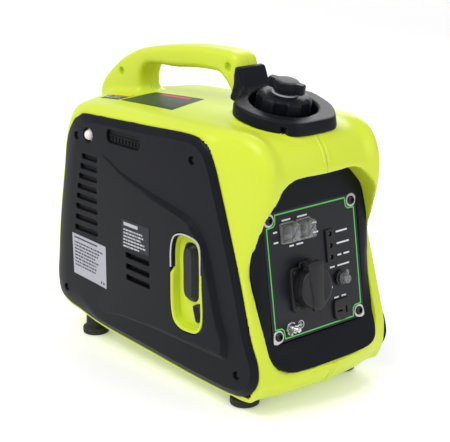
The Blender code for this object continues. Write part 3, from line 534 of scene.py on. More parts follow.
LOUVRES = [(126, 95, 243.5), (130, 96, 230.5), (134, 96.5, 217.5), (138, 97.5, 204), (140.5, 98, 191),
           (143, 98, 177.5), (144.5, 98.5, 163.5), (147, 98.5, 149.5)]
VENT_HEIGHTS, VENT_REAR, VENT_FRONT, SLOT_HALF = (139, 125, 111), 39, -8, 3.3
WINDOW_MIDDLE, WINDOW_SIZE = (41, 278), (64, 16.5)


def rounded_box(width, height, radius, centre=(0, 0), steps=4):
    """A rectangle with rounded corners, counterclockwise."""
    points = []
    for corner, (sx, sy) in enumerate(((1, 1), (-1, 1), (-1, -1), (1, -1))):
        for step in range(steps + 1):
            angle = math.radians(90 * corner + 90 * step / steps)
            points.append((centre[0] + sx * (width / 2 - radius) + radius * math.cos(angle),
                           centre[1] + sy * (height / 2 - radius) + radius * math.sin(angle)))
    return np.array(points)


def circle(radius, centre=(0, 0), count=24):
    angles = np.arange(count) * 2 * math.pi / count
    return np.stack([centre[0] + radius * np.cos(angles), centre[1] + radius * np.sin(angles)], 1)


def relief(outline, holes, wells, face, floor, back, guides, pitch):
    """A plate with a modelled face: holes go through, wells stop at a floor, guides follow its creases.

    Returns points (u, v, height), faces, and a material number for each face: 0 on the face, 1 in wells.
    """
    points, edges = [], []
    for loop in [outline, *holes, *wells, *guides]:
        start = len(points)
        points += [tuple(p) for p in loop]
        edges += [(start + i, start + (i + 1) % len(loop)) for i in range(len(loop))]
    fixed = np.array(points)
    low, high = fixed.min(0), fixed.max(0)
    u, v = np.meshgrid(np.arange(low[0], high[0], pitch), np.arange(low[1], high[1], pitch), indexing="ij")
    u[:, 1::2] += pitch / 2
    grid = np.stack([u.ravel(), v.ravel()], 1)
    grid = grid[outline_distance(outline, grid[:, 0], grid[:, 1]) < -pitch * 0.5]
    near = np.array([np.min(np.sum((fixed - p) ** 2, 1)) for p in grid])
    points += [tuple(p) for p in grid[near > (0.55 * pitch) ** 2]]
    flat, _, triangles, *_ = geometry.delaunay_2d_cdt([Vector(p) for p in points], edges, [], 0, 1e-4)
    flat = np.array([tuple(p) for p in flat])
    triangles = np.array(triangles)
    middle = flat[triangles].mean(1)
    keep = outline_distance(outline, middle[:, 0], middle[:, 1]) < 0
    for hole in holes:
        keep &= outline_distance(hole, middle[:, 0], middle[:, 1]) > 0
    sunk = np.zeros(len(triangles), bool)
    for well in wells:
        sunk |= outline_distance(well, middle[:, 0], middle[:, 1]) < 0
    heights = face(flat[:, 0], flat[:, 1])
    count = len(flat)
    rows = [np.column_stack([flat, h]) for h in (heights, np.full(count, floor), np.full(count, back))]
    faces, kinds = [], []
    level = {}
    for triangle, is_sunk in zip(triangles[keep].tolist(), sunk[keep]):
        base = count if is_sunk else 0
        faces.append([base + i for i in triangle])
        kinds.append(int(is_sunk))
        faces.append([2 * count + i for i in reversed(triangle)])
        kinds.append(int(is_sunk))
        for a, b in zip(triangle, triangle[1:] + triangle[:1]):
            level[a, b] = base
    for (a, b), base in level.items():
        other = level.get((b, a))
        if other is None:
            faces.append([base + b, base + a, 2 * count + a, 2 * count + b])
            kinds.append(0)
        elif base == 0 and other == count:
            faces.append([b, a, count + a, count + b])
            kinds.append(0)
    used = sorted({i for one in faces for i in one})
    number = {old: new for new, old in enumerate(used)}
    every = np.concatenate(rows)[used]
    return every, [[number[i] for i in one] for one in faces], kinds


def cover_face(u, v):
    """Height of the cover over the case: a sloping edge, broad and domed at the rear, and the raised field."""
    inside = -outline_distance(COVER_PATH, u, v)
    rear = np.clip((u - 105) / 60, 0, 1)
    rear = rear * rear * (3 - 2 * rear)
    share = np.clip(inside / (8.5 + 20 * rear), 0, 1)
    edge = (1 - rear) * share + rear * (1 - (1 - share) ** 2.4)
    height = COVER_RIM + (COVER_FACE - COVER_RIM) * edge
    rise = PLATEAU_RISE * np.clip((100 - u) / 190, 0, 1)
    field = -outline_distance(PLATEAU_PATH, u, v)
    return height + rise * np.clip(field / (1.35 * rise + 0.2), 0, 1)


COVER_PATH = rounded_path(COVER_OUTLINE, 4)
PLATEAU_PATH = rounded_path(PLATEAU_OUTLINE, 4)
BLACK_ABS = moulded("black_abs", (0.0050, 0.0054, 0.0085), (0.0065, 0.0070, 0.0110), (0.030, 0.031, 0.038), 0.40,
                    1300.0, 0.3, dust=0.03, gloss=0.12)
# Near-black material for slot and well floors, the primer hole's lining and the panels behind the grille: painted
# shadow where the inside of the case lies in shade.
DEEP_SHADOW = moulded("slot_painted_shadow", (0.003, 0.003, 0.004), (0.004, 0.004, 0.005), (0.006, 0.006, 0.007), 0.8,
                      900.0, 0.5, dust=0.0)


def side_cover(label, side):
    slots = [rounded_box(rear - front, 2 * SLOT_HALF, 1.6, ((rear + front) / 2, z))
             for rear, front, z in LOUVRES + [(VENT_REAR, VENT_FRONT, z) for z in VENT_HEIGHTS]]
    screws = [circle(5.0, place) for place in COVER_SCREWS]
    holes = list(screws)
    wells = list(slots)
    if side < 0:
        holes.append(rounded_path(offset_outline(RECESS_OUTLINE, -0.5), 4))
        holes.append(circle(9.6, PRIMER_PLACE, 28))
        wells.append(rounded_box(*WINDOW_SIZE, 6.5, WINDOW_MIDDLE, 6))
    guides = [offset_outline(COVER_PATH, d) for d in (0.7, 4.2, 8.5, 9.4)]
    guides += [offset_outline(PLATEAU_PATH, d) for d in (-0.8, 0.0, 1.5, 3.4, 6.6, 7.4)]
    guides += [offset_outline(loop, -0.7) for loop in holes + wells]

    def face(u, v):
        height = cover_face(u, v)
        for loop in holes + wells:
            near = np.abs(outline_distance(loop, u, v))
            height = height - 0.5 * (near < 0.05)
        edge = -outline_distance(COVER_PATH, u, v)
        return height - 0.5 * (edge < 0.05)

    points, faces, kinds = relief(COVER_PATH, holes, wells, face, COVER_BACK + 0.8, COVER_BACK, guides, 4.2)
    place = np.column_stack([side * points[:, 2], points[:, 0], points[:, 1]])
    if side > 0:
        faces = [one[::-1] for one in faces]
    # Slot and window floors take the second, near-black material: painted shadow in the slots.
    cover = make(f"cover_{label}", place, faces, [BLACK_ABS, DEEP_SHADOW], smooth=24)
    cover.data.polygons.foreach_set("material_index", kinds)
    bm = bmesh.new()
    bm.from_mesh(cover.data)
    bmesh.ops.recalc_face_normals(bm, faces=bm.faces)
    bm.to_mesh(cover.data)
    bm.free()
    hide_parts(f"{label}_side_cover")
    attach(cover, "case")


side_cover("left", -1)
side_cover("right", 1)


def lathe(profile, count=32):
    """Points and faces of a turned piece from (radius, height) pairs, closed on its axis at both ends."""
    angles = np.arange(count) * 2 * math.pi / count
    points, rows = [], []
    for radius, height in profile:
        if radius < 1e-6:
            rows.append([len(points)] * count)
            points.append((0, 0, height))
        else:
            rows.append(list(range(len(points), len(points) + count)))
            points += [(radius * math.cos(a), radius * math.sin(a), height) for a in angles]
    faces = []
    for lower, upper in zip(rows, rows[1:]):
        for i in range(count):
            j = (i + 1) % count
            ring = [lower[i], lower[j], upper[j], upper[i]]
            ring = [p for n, p in enumerate(ring) if p not in ring[:n]]
            if len(ring) > 2:
                faces.append(ring)
    return np.array(points), faces


def solid(name, points, faces, frame_of, materials, smooth=30.0, kinds=None):
    """An object from local millimetre points, moved by a 4 x 4 matrix, with its normals turned outwards."""
    placed = [frame_of @ Vector(p) for p in np.asarray(points, float).tolist()]
    item = make(name, [tuple(p) for p in placed], faces, materials, smooth)
    bm = bmesh.new()
    bm.from_mesh(item.data)
    bmesh.ops.recalc_face_normals(bm, faces=bm.faces)
    bm.to_mesh(item.data)
    bm.free()
    item.data.set_sharp_from_angle(angle=math.radians(smooth))
    if kinds is not None:
        item.data.polygons.foreach_set("material_index", kinds)
    return item


def layered(outline, levels):
    """Points and faces of a solid whose rings are an outline moved inwards, at given heights."""
    count = len(outline)
    rings = [np.column_stack([offset_outline(outline, inset), np.full(count, height)]) for inset, height in levels]
    faces = []
    for n in range(len(rings) - 1):
        for i in range(count):
            j = (i + 1) % count
            faces.append([n * count + i, n * count + j, (n + 1) * count + j, (n + 1) * count + i])
    faces.append(list(range(count))[::-1])
    faces.append([(len(rings) - 1) * count + i for i in range(count)])
    return np.concatenate(rings), faces


def combined(*pieces):
    """Puts several point-and-face sets into one."""
    points, faces = [], []
    for more_points, more_faces in pieces:
        start = sum(len(p) for p in points)
        points.append(np.asarray(more_points, float))
        faces += [[start + i for i in face] for face in more_faces]
    return np.concatenate(points), faces


def moved(piece, matrix):
    points, faces = piece
    return np.array([tuple(matrix @ Vector(p)) for p in points.tolist()]), faces


def build_brushed_grain():
    """Fine turned or rolled marks, with small stains, for plated and painted metal."""
    tree, start, end = group(
        "metal_grain", [("Place", "Vector", None), ("Scratch", "Float", 900.0)],
        [("Height", "Float"), ("Stain", "Float")])
    stretch = tree.nodes.new("ShaderNodeMapping")
    stretch.inputs["Scale"].default_value = (1.0, 1.0, 0.08)
    tree.links.new(start.outputs["Place"], stretch.inputs["Vector"])
    scratch = tree.nodes.new("ShaderNodeTexNoise")
    scratch.inputs["Detail"].default_value = 2.0
    tree.links.new(stretch.outputs["Vector"], scratch.inputs["Vector"])
    tree.links.new(start.outputs["Scratch"], scratch.inputs["Scale"])
    tree.links.new(scratch.outputs["Fac"], end.inputs["Height"])
    tree.links.new(noise_node(tree, start.outputs["Place"], 120.0, 4.0), end.inputs["Stain"])
    return tree


METAL_GRAIN = build_brushed_grain()


def metal(name, colour, stained, rough, metallic=1.0, scratch=900.0, bump=0.2):
    material = bpy.data.materials.new(name)
    material.use_nodes = True
    tree = material.node_tree
    shader = tree.nodes["Principled BSDF"]
    shader.inputs["Metallic"].default_value = metallic
    place = tree.nodes.new("ShaderNodeTexCoord").outputs["Object"]
    grain = tree.nodes.new("ShaderNodeGroup")
    grain.node_tree = METAL_GRAIN
    grain.inputs["Scratch"].default_value = scratch
    tree.links.new(place, grain.inputs["Place"])
    tree.links.new(mix_colour(tree, grain.outputs["Stain"], colour, stained), shader.inputs["Base Color"])
    spread = tree.nodes.new("ShaderNodeMapRange")
    spread.inputs["To Min"].default_value = rough - 0.06
    spread.inputs["To Max"].default_value = rough + 0.1
    tree.links.new(grain.outputs["Stain"], spread.inputs["Value"])
    tree.links.new(spread.outputs["Result"], shader.inputs["Roughness"])
    relief_node = tree.nodes.new("ShaderNodeBump")
    relief_node.inputs["Strength"].default_value = bump
    relief_node.inputs["Distance"].default_value = 0.00005
    tree.links.new(grain.outputs["Height"], relief_node.inputs["Height"])
    tree.links.new(relief_node.outputs["Normal"], shader.inputs["Normal"])
    return material


BLACK_ZINC = metal("black_zinc_screw", (0.03, 0.03, 0.033), (0.05, 0.048, 0.045), 0.35)
PAN_HEAD = [(0, -1.0), (4.1, -1.0), (4.2, 0.4), (3.6, 1.5), (2.4, 2.1), (0, 2.3)]


def cross_slot(size, width, depth):
    """The raised outline of a cross recess is cut as four short wells, drawn here as a sunken cross."""
    bar = layered(rounded_box(size, width, width * 0.3), [(0, depth), (0.15, depth + 0.25)])
    return combined(bar, moved(bar, Matrix.Rotation(math.radians(90), 4, "Z")))


def sideways(side, x, y, z):
    """Frame on a side of the case: +Z points out of it."""
    return Matrix.Translation((side * x, y, z)) @ Matrix.Rotation(side * math.radians(90), 4, "Y")


for side, label in ((-1, "left"), (1, "right")):
    for number, (y, z) in enumerate(COVER_SCREWS, 1):
        head = combined(lathe(PAN_HEAD, 20), cross_slot(4.4, 1.0, 2.2))
        screw = solid(f"{label}_cover_screw_{number}_head", *head, sideways(side, 100.9, y, z), [BLACK_ZINC])
        if side < 0:
            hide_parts(f"left_cover_screw_{number}")
        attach(screw, "case")

# ==== front bezel and control panel =================================================================
# A black ABS bezel fills the mouth of the case and leans out below as a chin. The panel plate on it
# carries a printed film and is held by four screws, each through a bare square washer pad.
PANEL_WIDTH, PANEL_HEIGHT, PANEL_FACE = 143.0, 146.0, 1.8
SCREW_U, SCREW_V = 63.0, 65.0
BEZEL_LINE = [(47, -203.5), (54, -199), (66, -190.5), (79, -183.3), (84, -180.9), (150, -172.6), (216, -164.5),
              (262, -160)]
PRINT_GREEN, PRINT_WHITE, FILM_BLACK = (0.09, 0.50, 0.10), (0.62, 0.64, 0.68), (0.0065, 0.007, 0.0115)


def on_panel(u, v, out):
    """A point of the control panel: u across, v up the plate, out towards the user."""
    return (u, PANEL_FOOT[0] + v * math.sin(PANEL_TILT) - out * math.cos(PANEL_TILT),
            PANEL_FOOT[1] + v * math.cos(PANEL_TILT) + out * math.sin(PANEL_TILT))


def plate_frame(u=0.0, v=0.0, out=0.0):
    """Frame on the panel: +X across, +Y up the plate, +Z out of it."""
    return Matrix.Translation(on_panel(u, v, out)) @ Matrix.Rotation(math.radians(90) - PANEL_TILT, 4, "X")


BEZEL_PATH = offset_outline(rounded_path(mirror_outline(FRONT_OPENING), 3), 0.35)
CHEEK_REACH = [(47, 2.0), (70, 1.0), (97, 0.0), (120, -3.0), (150, -5.0), (175, -3.0), (205, 0.0), (262, 0.0)]


def bezel_face(x, z):
    """How far the bezel's face stands from the middle plane: the leaning floor, with cheeks up to the rim."""
    floor_z, floor_y = zip(*BEZEL_LINE)
    lean_out = -np.interp(z, floor_z, floor_y)
    reach_z, reach = zip(*CHEEK_REACH)
    inside = -outline_distance(BEZEL_PATH, x, z)
    cheek = np.clip(1 - inside / 15.0, 0, 1) ** 2
    return lean_out + np.interp(z, reach_z, reach) * cheek * np.clip((np.abs(x) - 55) / 20, 0, 1)


seat_points = [on_panel(*corner, 0.0) for corner in rounded_box(PANEL_WIDTH + 1.2, PANEL_HEIGHT + 1.2, 9)]
seat = np.array([(x, z) for x, y, z in seat_points])
bezel_guides = [offset_outline(BEZEL_PATH, d) for d in (0.7, 3.0, 6.0, 10.0, 15.0)]
bezel_guides += [offset_outline(seat, -0.8)]


def bezel_height(x, z):
    height = bezel_face(x, z)
    height = height - 0.5 * (np.abs(outline_distance(BEZEL_PATH, x, z)) < 0.05)
    return height - 0.6 * (np.abs(outline_distance(seat, x, z)) < 0.05)


points, faces, kinds = relief(BEZEL_PATH, [seat], [], bezel_height, 160.0, 140.0, bezel_guides, 5.0)
place = np.column_stack([points[:, 0], -points[:, 2], points[:, 1]])
bezel = solid("front_bezel_moulding", place, faces, Matrix.Identity(4), [BLACK_ABS], smooth=28)
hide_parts("front_bezel")
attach(bezel, "case")


def film(name, base, rough, coat=0.0):
    """Screen-printed polycarbonate film over metal: very fine matt grain with faint waviness."""
    material = bpy.data.materials.new(name)
    material.use_nodes = True
    tree = material.node_tree
    shader = tree.nodes["Principled BSDF"]
    place = tree.nodes.new("ShaderNodeTexCoord").outputs["Object"]
    grain = tree.nodes.new("ShaderNodeGroup")
    grain.node_tree = MOULDED_GRAIN
    grain.inputs["Pebble"].default_value = 2600.0
    grain.inputs["Flow"].default_value = 30.0
    tree.links.new(place, grain.inputs["Place"])
    lighter = tuple(c * 1.25 + 0.002 for c in base)
    tone = mix_colour(tree, grain.outputs["Cloud"], base, lighter)
    share = math_node(tree, "MULTIPLY", grain.outputs["Dust"], 0.08)
    tree.links.new(mix_colour(tree, share, tone, (0.5, 0.49, 0.46)), shader.inputs["Base Color"])
    spread = tree.nodes.new("ShaderNodeMapRange")
    spread.inputs["To Min"].default_value = rough - 0.04
    spread.inputs["To Max"].default_value = rough + 0.06
    tree.links.new(grain.outputs["Cloud"], spread.inputs["Value"])
    tree.links.new(spread.outputs["Result"], shader.inputs["Roughness"])
    relief_node = tree.nodes.new("ShaderNodeBump")
    relief_node.inputs["Strength"].default_value = 0.15
    shader.inputs["Specular IOR Level"].default_value = 0.22
    relief_node.inputs["Distance"].default_value = 0.00008
    tree.links.new(grain.outputs["Height"], relief_node.inputs["Height"])
    tree.links.new(relief_node.outputs["Normal"], shader.inputs["Normal"])
    shader.inputs["Coat Weight"].default_value = coat
    shader.inputs["Coat Roughness"].default_value = 0.25
    return material


PANEL_FILM = film("panel_film", FILM_BLACK, 0.42, 0.15)
WHITE_PRINT = film("white_print", PRINT_WHITE, 0.5)
GREEN_PRINT = film("green_print", PRINT_GREEN, 0.45)
BARE_PAD = metal("bare_washer_pad", (0.62, 0.62, 0.64), (0.5, 0.5, 0.5), 0.36, 0.9)

plate_outline = rounded_box(PANEL_WIDTH, PANEL_HEIGHT, 9, steps=6)
plate = layered(plate_outline, [(0.6, 0.05), (0.0, 0.5), (0.0, PANEL_FACE - 0.4), (0.4, PANEL_FACE)])
panel = solid("control_plate", *plate, plate_frame(), [PANEL_FILM], smooth=30)
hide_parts("control_panel")
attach(panel, "case")

PRINT_RAISE = 0.08
LINE_HALF = 0.75


def line_ring(path, half):
    """A thin closed band along a path, lying on the film."""
    outer, inner = offset_outline(path, -half), offset_outline(path, half)
    count = len(path)
    points = np.concatenate([np.column_stack([loop, np.full(count, h)])
                             for h, loop in ((PRINT_RAISE, outer), (PRINT_RAISE, inner), (0, outer), (0, inner))])
    faces = []
    for i in range(count):
        j = (i + 1) % count
        faces += [[i, j, count + j, count + i], [2 * count + i, i, j, 2 * count + j][::-1],
                  [3 * count + i, count + i, count + j, 3 * count + j]]
    return points, faces


# The green border steps in around each screw.
LINE_SIDE, LINE_NOTCH, LINE_END, LINE_SHOULDER = 67.0, 53.5, 69.5, 56.5
quarter = [(LINE_NOTCH, LINE_END)]
quarter += [(LINE_NOTCH + 1.0, LINE_SHOULDER + 3.5), (LINE_NOTCH + 4.0, LINE_SHOULDER + 0.6),
            (LINE_SIDE, LINE_SHOULDER)]
border = [(u, v) for u, v in quarter] + [(u, -v) for u, v in quarter[::-1]]
border += [(-u, -v) for u, v in quarter] + [(-u, v) for u, v in quarter[::-1]]
green = solid("printed_border", *line_ring(np.array(border)[::-1], LINE_HALF), plate_frame(0, 0, PANEL_FACE),
              [GREEN_PRINT], smooth=20)
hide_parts("control_panel")
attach(green, "case")


def dash(u, v, width, height, lift=PRINT_RAISE):
    return layered(rounded_box(width, height, min(width, height) * 0.3, (u, v), 2), [(0, 0), (0.05, lift)])


def dashes(u, v, width, height, words):
    """A row of short printed bars, as wide in all as the words they stand for."""
    total = sum(words) + 1.1 * (len(words) - 1)
    scale, start, pieces = width / total, u - width / 2, []
    for word in words:
        pieces.append(dash(start + word * scale / 2, v, word * scale, height))
        start += (word + 1.1) * scale
    return pieces


# Plain bars stand where the real panel has its words.
marks = []
for u, v, width, words in ((-37.5, 61.5, 13, [3]), (-13.5, 61.5, 15, [3]), (-55, 50.5, 6, [2]), (-55, 39, 7, [2]),
                           (4.5, 50.5, 6, [2]), (5, 39.5, 8, [2]), (-25.5, 31.5, 21, [2, 3]), (45, 33.5, 18, [3]),
                           (46, 20, 20, [4]), (45.5, 6.5, 19, [2, 3]), (38, -5.5, 31, [2, 5]), (21.5, -28.5, 6, [2]),
                           (35, -41.5, 19, [2, 2])):
    marks += dashes(u, v, width, 1.9, words)
# The earth mark: a ring, a stem and three bars.
ring = circle(4.3, (-28.6, -59), 28)
marks.append(line_ring(ring, 0.4))
marks.append(dash(-28.6, -57.4, 0.7, 3.2))
marks += [dash(-28.6, -59.0 - 1.1 * n, 4.6 - 1.5 * n, 0.6) for n in range(3)]
white = solid("printed_marks", *combined(*marks), plate_frame(0, 0, PANEL_FACE), [WHITE_PRINT], smooth=20)
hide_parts("control_panel")
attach(white, "case")

for su, label_u in ((-1, "left"), (1, "right")):
    for sv, label_v in ((-1, "bottom"), (1, "top")):
        corner = [(7.6, 7.6), (-1.5, 7.6), (-6.0, 5.0), (-7.4, 0.0), (-5.2, -5.2), (0.0, -7.4), (5.0, -6.0),
                  (7.6, -1.5)]
        outline = rounded_path([(su * u, sv * v) for u, v in corner], 4)
        outline = outline if su * sv > 0 else outline[::-1]
        pad = layered(outline, [(0, 0), (0.25, 0.45)])
        pad_item = solid(f"washer_pad_{label_v}_{label_u}", *pad, plate_frame(su * SCREW_U, sv * SCREW_V, PANEL_FACE),
                         [BARE_PAD], smooth=25)
        head = [(0, 0.4), (5.0, 0.4), (5.1, 1.2), (4.5, 2.2), (3.2, 2.75), (2.6, 2.75), (2.4, 0.9), (0, 0.8)]
        spokes = cross_slot(4.6, 0.9, 0.8)
        screw = solid(f"panel_screw_{label_v}_{label_u}_head", *combined(lathe(head, 24), spokes),
                      plate_frame(su * SCREW_U, sv * SCREW_V, PANEL_FACE), [BLACK_ZINC])
        for item in (pad_item, screw):
            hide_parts(f"panel_screw_{label_v}_{label_u}")
            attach(item, "case")

# ==== switches and lamps ============================================================================
# Two rocker switches snap into the plate under clear vinyl rain boots. The lamp block beside them is one
# moulding with three domed lenses set in its holes.
SWITCHES, SWITCH_V = {"econ": -37.5, "engine": -13.5}, 47.5
LAMP_U, LAMP_VS = 24.5, (33.5, 20.0, 6.5)
FITTING_BLACK = moulded("glossy_black_fitting", (0.010, 0.010, 0.012), (0.013, 0.013, 0.015), (0.03, 0.03, 0.035),
                        0.28, 2200.0, 0.12, dust=0.03, gloss=0.28)


def clear_vinyl():
    """Soft clear PVC: cloudy, slightly uneven and smoke-grey in the fold."""
    material = bpy.data.materials.new("clear_vinyl")
    material.use_nodes = True
    tree = material.node_tree
    shader = tree.nodes["Principled BSDF"]
    place = tree.nodes.new("ShaderNodeTexCoord").outputs["Object"]
    cloud = noise_node(tree, place, 260.0, 4.0, 0.6)
    tree.links.new(mix_colour(tree, cloud, (0.42, 0.43, 0.45), (0.62, 0.63, 0.65)), shader.inputs["Base Color"])
    spread = tree.nodes.new("ShaderNodeMapRange")
    spread.inputs["To Min"].default_value = 0.12
    spread.inputs["To Max"].default_value = 0.34
    tree.links.new(cloud, spread.inputs["Value"])
    tree.links.new(spread.outputs["Result"], shader.inputs["Roughness"])
    relief_node = tree.nodes.new("ShaderNodeBump")
    relief_node.inputs["Strength"].default_value = 0.35
    relief_node.inputs["Distance"].default_value = 0.0006
    tree.links.new(cloud, relief_node.inputs["Height"])
    tree.links.new(relief_node.outputs["Normal"], shader.inputs["Normal"])
    shader.inputs["IOR"].default_value = 1.46
    shader.inputs["Alpha"].default_value = 0.26
    shader.inputs["Specular IOR Level"].default_value = 0.5
    return material


CLEAR_VINYL = clear_vinyl()
for label, u in SWITCHES.items():
    switch_frame = plate_frame(u, SWITCH_V)
    boot = layered(rounded_box(21.5, 23.5, 2.6, steps=3), [
        (0.0, 2.15), (0.0, 4.4), (1.3, 4.9), (1.4, 9.0), (1.9, 13.4), (2.9, 15.0), (4.2, 15.4)])
    inside = layered(rounded_box(21.5, 23.5, 2.6, steps=3)[::-1], [
        (1.8, 2.2), (2.2, 5.0), (2.4, 9.0), (2.9, 13.0), (4.4, 14.4)])
    cover = solid(f"{label}_rain_boot", *boot, switch_frame, [CLEAR_VINYL], smooth=35)
    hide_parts(f"{label}_boot")
    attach(cover, "case")
    wall = layered(rounded_box(18, 20, 1.6), [(0, -21), (0, 3.4), (0.5, 4.1), (1.6, 4.2), (2.2, 3.0), (2.4, -7.0)])
    housing = solid(f"{label}_switch_frame", *wall, switch_frame, [FITTING_BLACK], smooth=30)
    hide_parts(f"{label}_switch")
    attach(housing, "case")
    profile = rounded_path([(-6.4, 0.4), (-3.4, 1.4), (0, 2.2), (3.4, 3.2), (6.3, 3.8), (6.4, 2.0), (5.2, -1.4),
                            (2.8, -4.0), (-2.8, -4.0), (-4.6, -3.0), (-6.1, -0.9)], 3)
    rocker_points, rocker_faces = layered(profile, [(0.5, -5.8), (0, -5.2), (0, 5.2), (0.5, 5.8)])
    rocker_points = rocker_points[:, [2, 0, 1]]
    tick = moved(dash(0, 4.6, 0.7, 2.6, 0.25), Matrix.Translation((0, 0, 3.5)))
    rocker = solid(f"{label}_rocker_key", *combined((rocker_points, rocker_faces), tick),
                   plate_frame(u, SWITCH_V, 0.5), [FITTING_BLACK], smooth=35)
    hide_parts(f"{label}_rocker")
    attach(rocker, f"{label}_rocker")

holes = [circle(2.9, (0, v - 20), 20) for v in LAMP_VS]
block_outline = rounded_box(12.6, 37.6, 1.2, steps=3)
points, faces, kinds = relief(block_outline, [], holes, lambda u, v: 4.4 - 0.4 * (
    np.abs(outline_distance(block_outline, u, v)) < 0.05), -1.0, -15.5, [offset_outline(block_outline, 0.5)], 3.0)
block = solid("lamp_block", points, faces, plate_frame(LAMP_U, 20), [FITTING_BLACK], smooth=28)
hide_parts("indicator_block")
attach(block, "case")
LENS = film("smoked_lens", (0.05, 0.055, 0.06), 0.12, 0.8)
for number, v in enumerate(LAMP_VS, 1):
    dome = [(0, -1.0), (2.5, -1.0), (2.5, 0.6), (2.1, 1.6), (1.2, 2.3), (0, 2.5)]
    lens = solid(f"lamp_lens_{number}", *lathe(dome, 24), plate_frame(LAMP_U, v), [LENS], smooth=50)
    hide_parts(f"indicator_lamp_{number}")
    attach(lens, "case")

# ==== mains socket ==================================================================================
# A panel socket in black thermoplastic: square flange, round collar, and a sprung round lid hung from a
# steel pin at the top, with a raised strap down its middle.
SOCKET_U, SOCKET_V, FLANGE, COLLAR_R, LID_R, LID_AXIS_V = -16.0, -18.0, 50.0, 22.5, 23.2, 25.6
SOCKET_BLACK = moulded("socket_thermoplastic", (0.0085, 0.0085, 0.0105), (0.0115, 0.0115, 0.0135),
                       (0.04, 0.04, 0.045), 0.36, 1900.0, 0.2, dust=0.03, gloss=0.3)
socket_frame = plate_frame(SOCKET_U, SOCKET_V)
flange = layered(rounded_box(FLANGE, FLANGE, 5, steps=6), [
    (0, 1.85), (0, 4.9), (0.4, 5.6), (1.1, 6.0), (1.6, 6.0)])
collar = lathe([(21.5, 5.5), (COLLAR_R, 6.2), (COLLAR_R, 14.4), (22.0, 15.0), (19.6, 15.0), (18.9, 14.4),
                (18.6, -1.8), (0, -2.0)], 48)
pin_hole = lathe([(0, -1.6), (2.5, -1.6), (2.9, -2.1), (0, -2.1)], 16)
pins = [moved(pin_hole, Matrix.Translation((9.5 * s, 0, 0))) for s in (-1, 1)]
earth = [moved(layered(rounded_box(4.2, 2.2, 0.5), [(0, -2), (0, 6), (0.4, 6.4)]),
               Matrix.Translation((0, 17.3 * s, 0))) for s in (-1, 1)]
ears = [moved(lathe([(0, 5.8), (2.3, 5.8), (2.1, 6.9), (1.2, 7.3), (0, 7.3)], 16), Matrix.Translation((x, y, 0)))
        for x in (-19.5, 19.5) for y in (-19.5, 19.5)]
lug = layered(rounded_box(10, 7.6, 1.0, (0, LID_AXIS_V - 3.6)), [(0, 4), (0, 14.2), (0.6, 14.9)])
hump = layered(rounded_box(24, 7, 2.0, (0, LID_AXIS_V + 0.4)), [(0, 5), (0, 6.3), (0.6, 6.8)])
body = solid("socket_body", *combined(flange, collar, *pins, *earth, *ears, lug, hump), socket_frame,
             [SOCKET_BLACK], smooth=32)
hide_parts("ac_socket")
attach(body, "case")

disc = lathe([(0, 15.3), (LID_R - 1.0, 15.3), (LID_R, 15.9), (LID_R, 18.9), (LID_R - 0.7, 19.9), (LID_R - 2.2, 20.5),
              (LID_R - 4, 20.3), (0, 20.0)], 56)
strap_outline = rounded_path([(-8.0, -22.6), (-8.2, -10), (-9.2, 2), (-10.6, 14), (-11.0, 24), (-11.0, 28.8),
                              (11.0, 28.8), (11.0, 24), (10.6, 14), (9.2, 2), (8.2, -10), (8.0, -22.6)], 3)
strap = layered(strap_outline[::-1], [(0, 15.6), (0, 20.4), (0.5, 21.2), (1.4, 21.5)])
wings = [layered(rounded_box(5.6, 9.4, 1.4, (s * 8.2, 25.2)), [(0, 11.4), (0, 19.0)]) for s in (-1, 1)]
pull = layered(rounded_box(13, 4.2, 1.8, (0, -24.4)), [(0, 15.8), (0, 18.8), (0.6, 19.4)])
lid = solid("socket_lid_disc", *combined(disc, strap, *wings, pull), socket_frame, [SOCKET_BLACK], smooth=32)
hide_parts("socket_lid")
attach(lid, "socket_lid")

# ==== breaker, low-voltage outlet and earth stud ====================================================
# The breaker's button pops out through a ring nut under a soft clear cap. The outlet is a D-shaped
# moulding with two flat slots. The plated earth stud carries a wing nut over two washers.
BREAKER, OUTLET, GROUND = (37.0, -20.0), (35.0, -56.0), (-44.0, -60.0)
PLATED_STEEL = metal("plated_steel", (0.66, 0.67, 0.69), (0.52, 0.52, 0.53), 0.24)
barrel = lathe([(0, -22), (5.8, -22), (5.8, -3.8), (0, -3.8)], 24)
grip_ring = lathe([(7.2, 6.0), (7.2, 7.4), (6.6, 7.9), (4.4, 7.9), (4.2, 6.0)], 32)
breaker = solid("breaker_body", *combined(lathe([(8.6, 1.9), (9.0, 2.6), (9.0, 5.0), (8.4, 5.8), (7.0, 6.4),
                                                 (4.4, 6.4), (4.3, -3.5), (0, -3.5)], 40), barrel, grip_ring),
                plate_frame(*BREAKER), [FITTING_BLACK], smooth=30)
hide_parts("dc_breaker")
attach(breaker, "case")
button = lathe([(0, 0), (3.5, 0), (3.5, 10.6), (3.1, 11.3), (2.2, 11.5), (0, 11.2)], 28)
key = solid("breaker_key", *button, plate_frame(*BREAKER), [LENS], smooth=35)
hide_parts("breaker_button")
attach(key, "breaker_button")
cap_wall = [(6.4, 6.0), (6.4, 8.2), (5.7, 9.0), (5.5, 13.4), (5.0, 15.0), (4.0, 15.7), (2.4, 15.9), (0, 15.9)]
tab = layered(rounded_box(3.0, 6.0, 1.2, (5.6, 6.6)), [(0, 8.6), (0, 10.0), (0.5, 10.6)])
soft_cap = solid("breaker_rain_cap", *combined(lathe(cap_wall, 36), tab), plate_frame(*BREAKER), [CLEAR_VINYL], 50)
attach(soft_cap, "case")

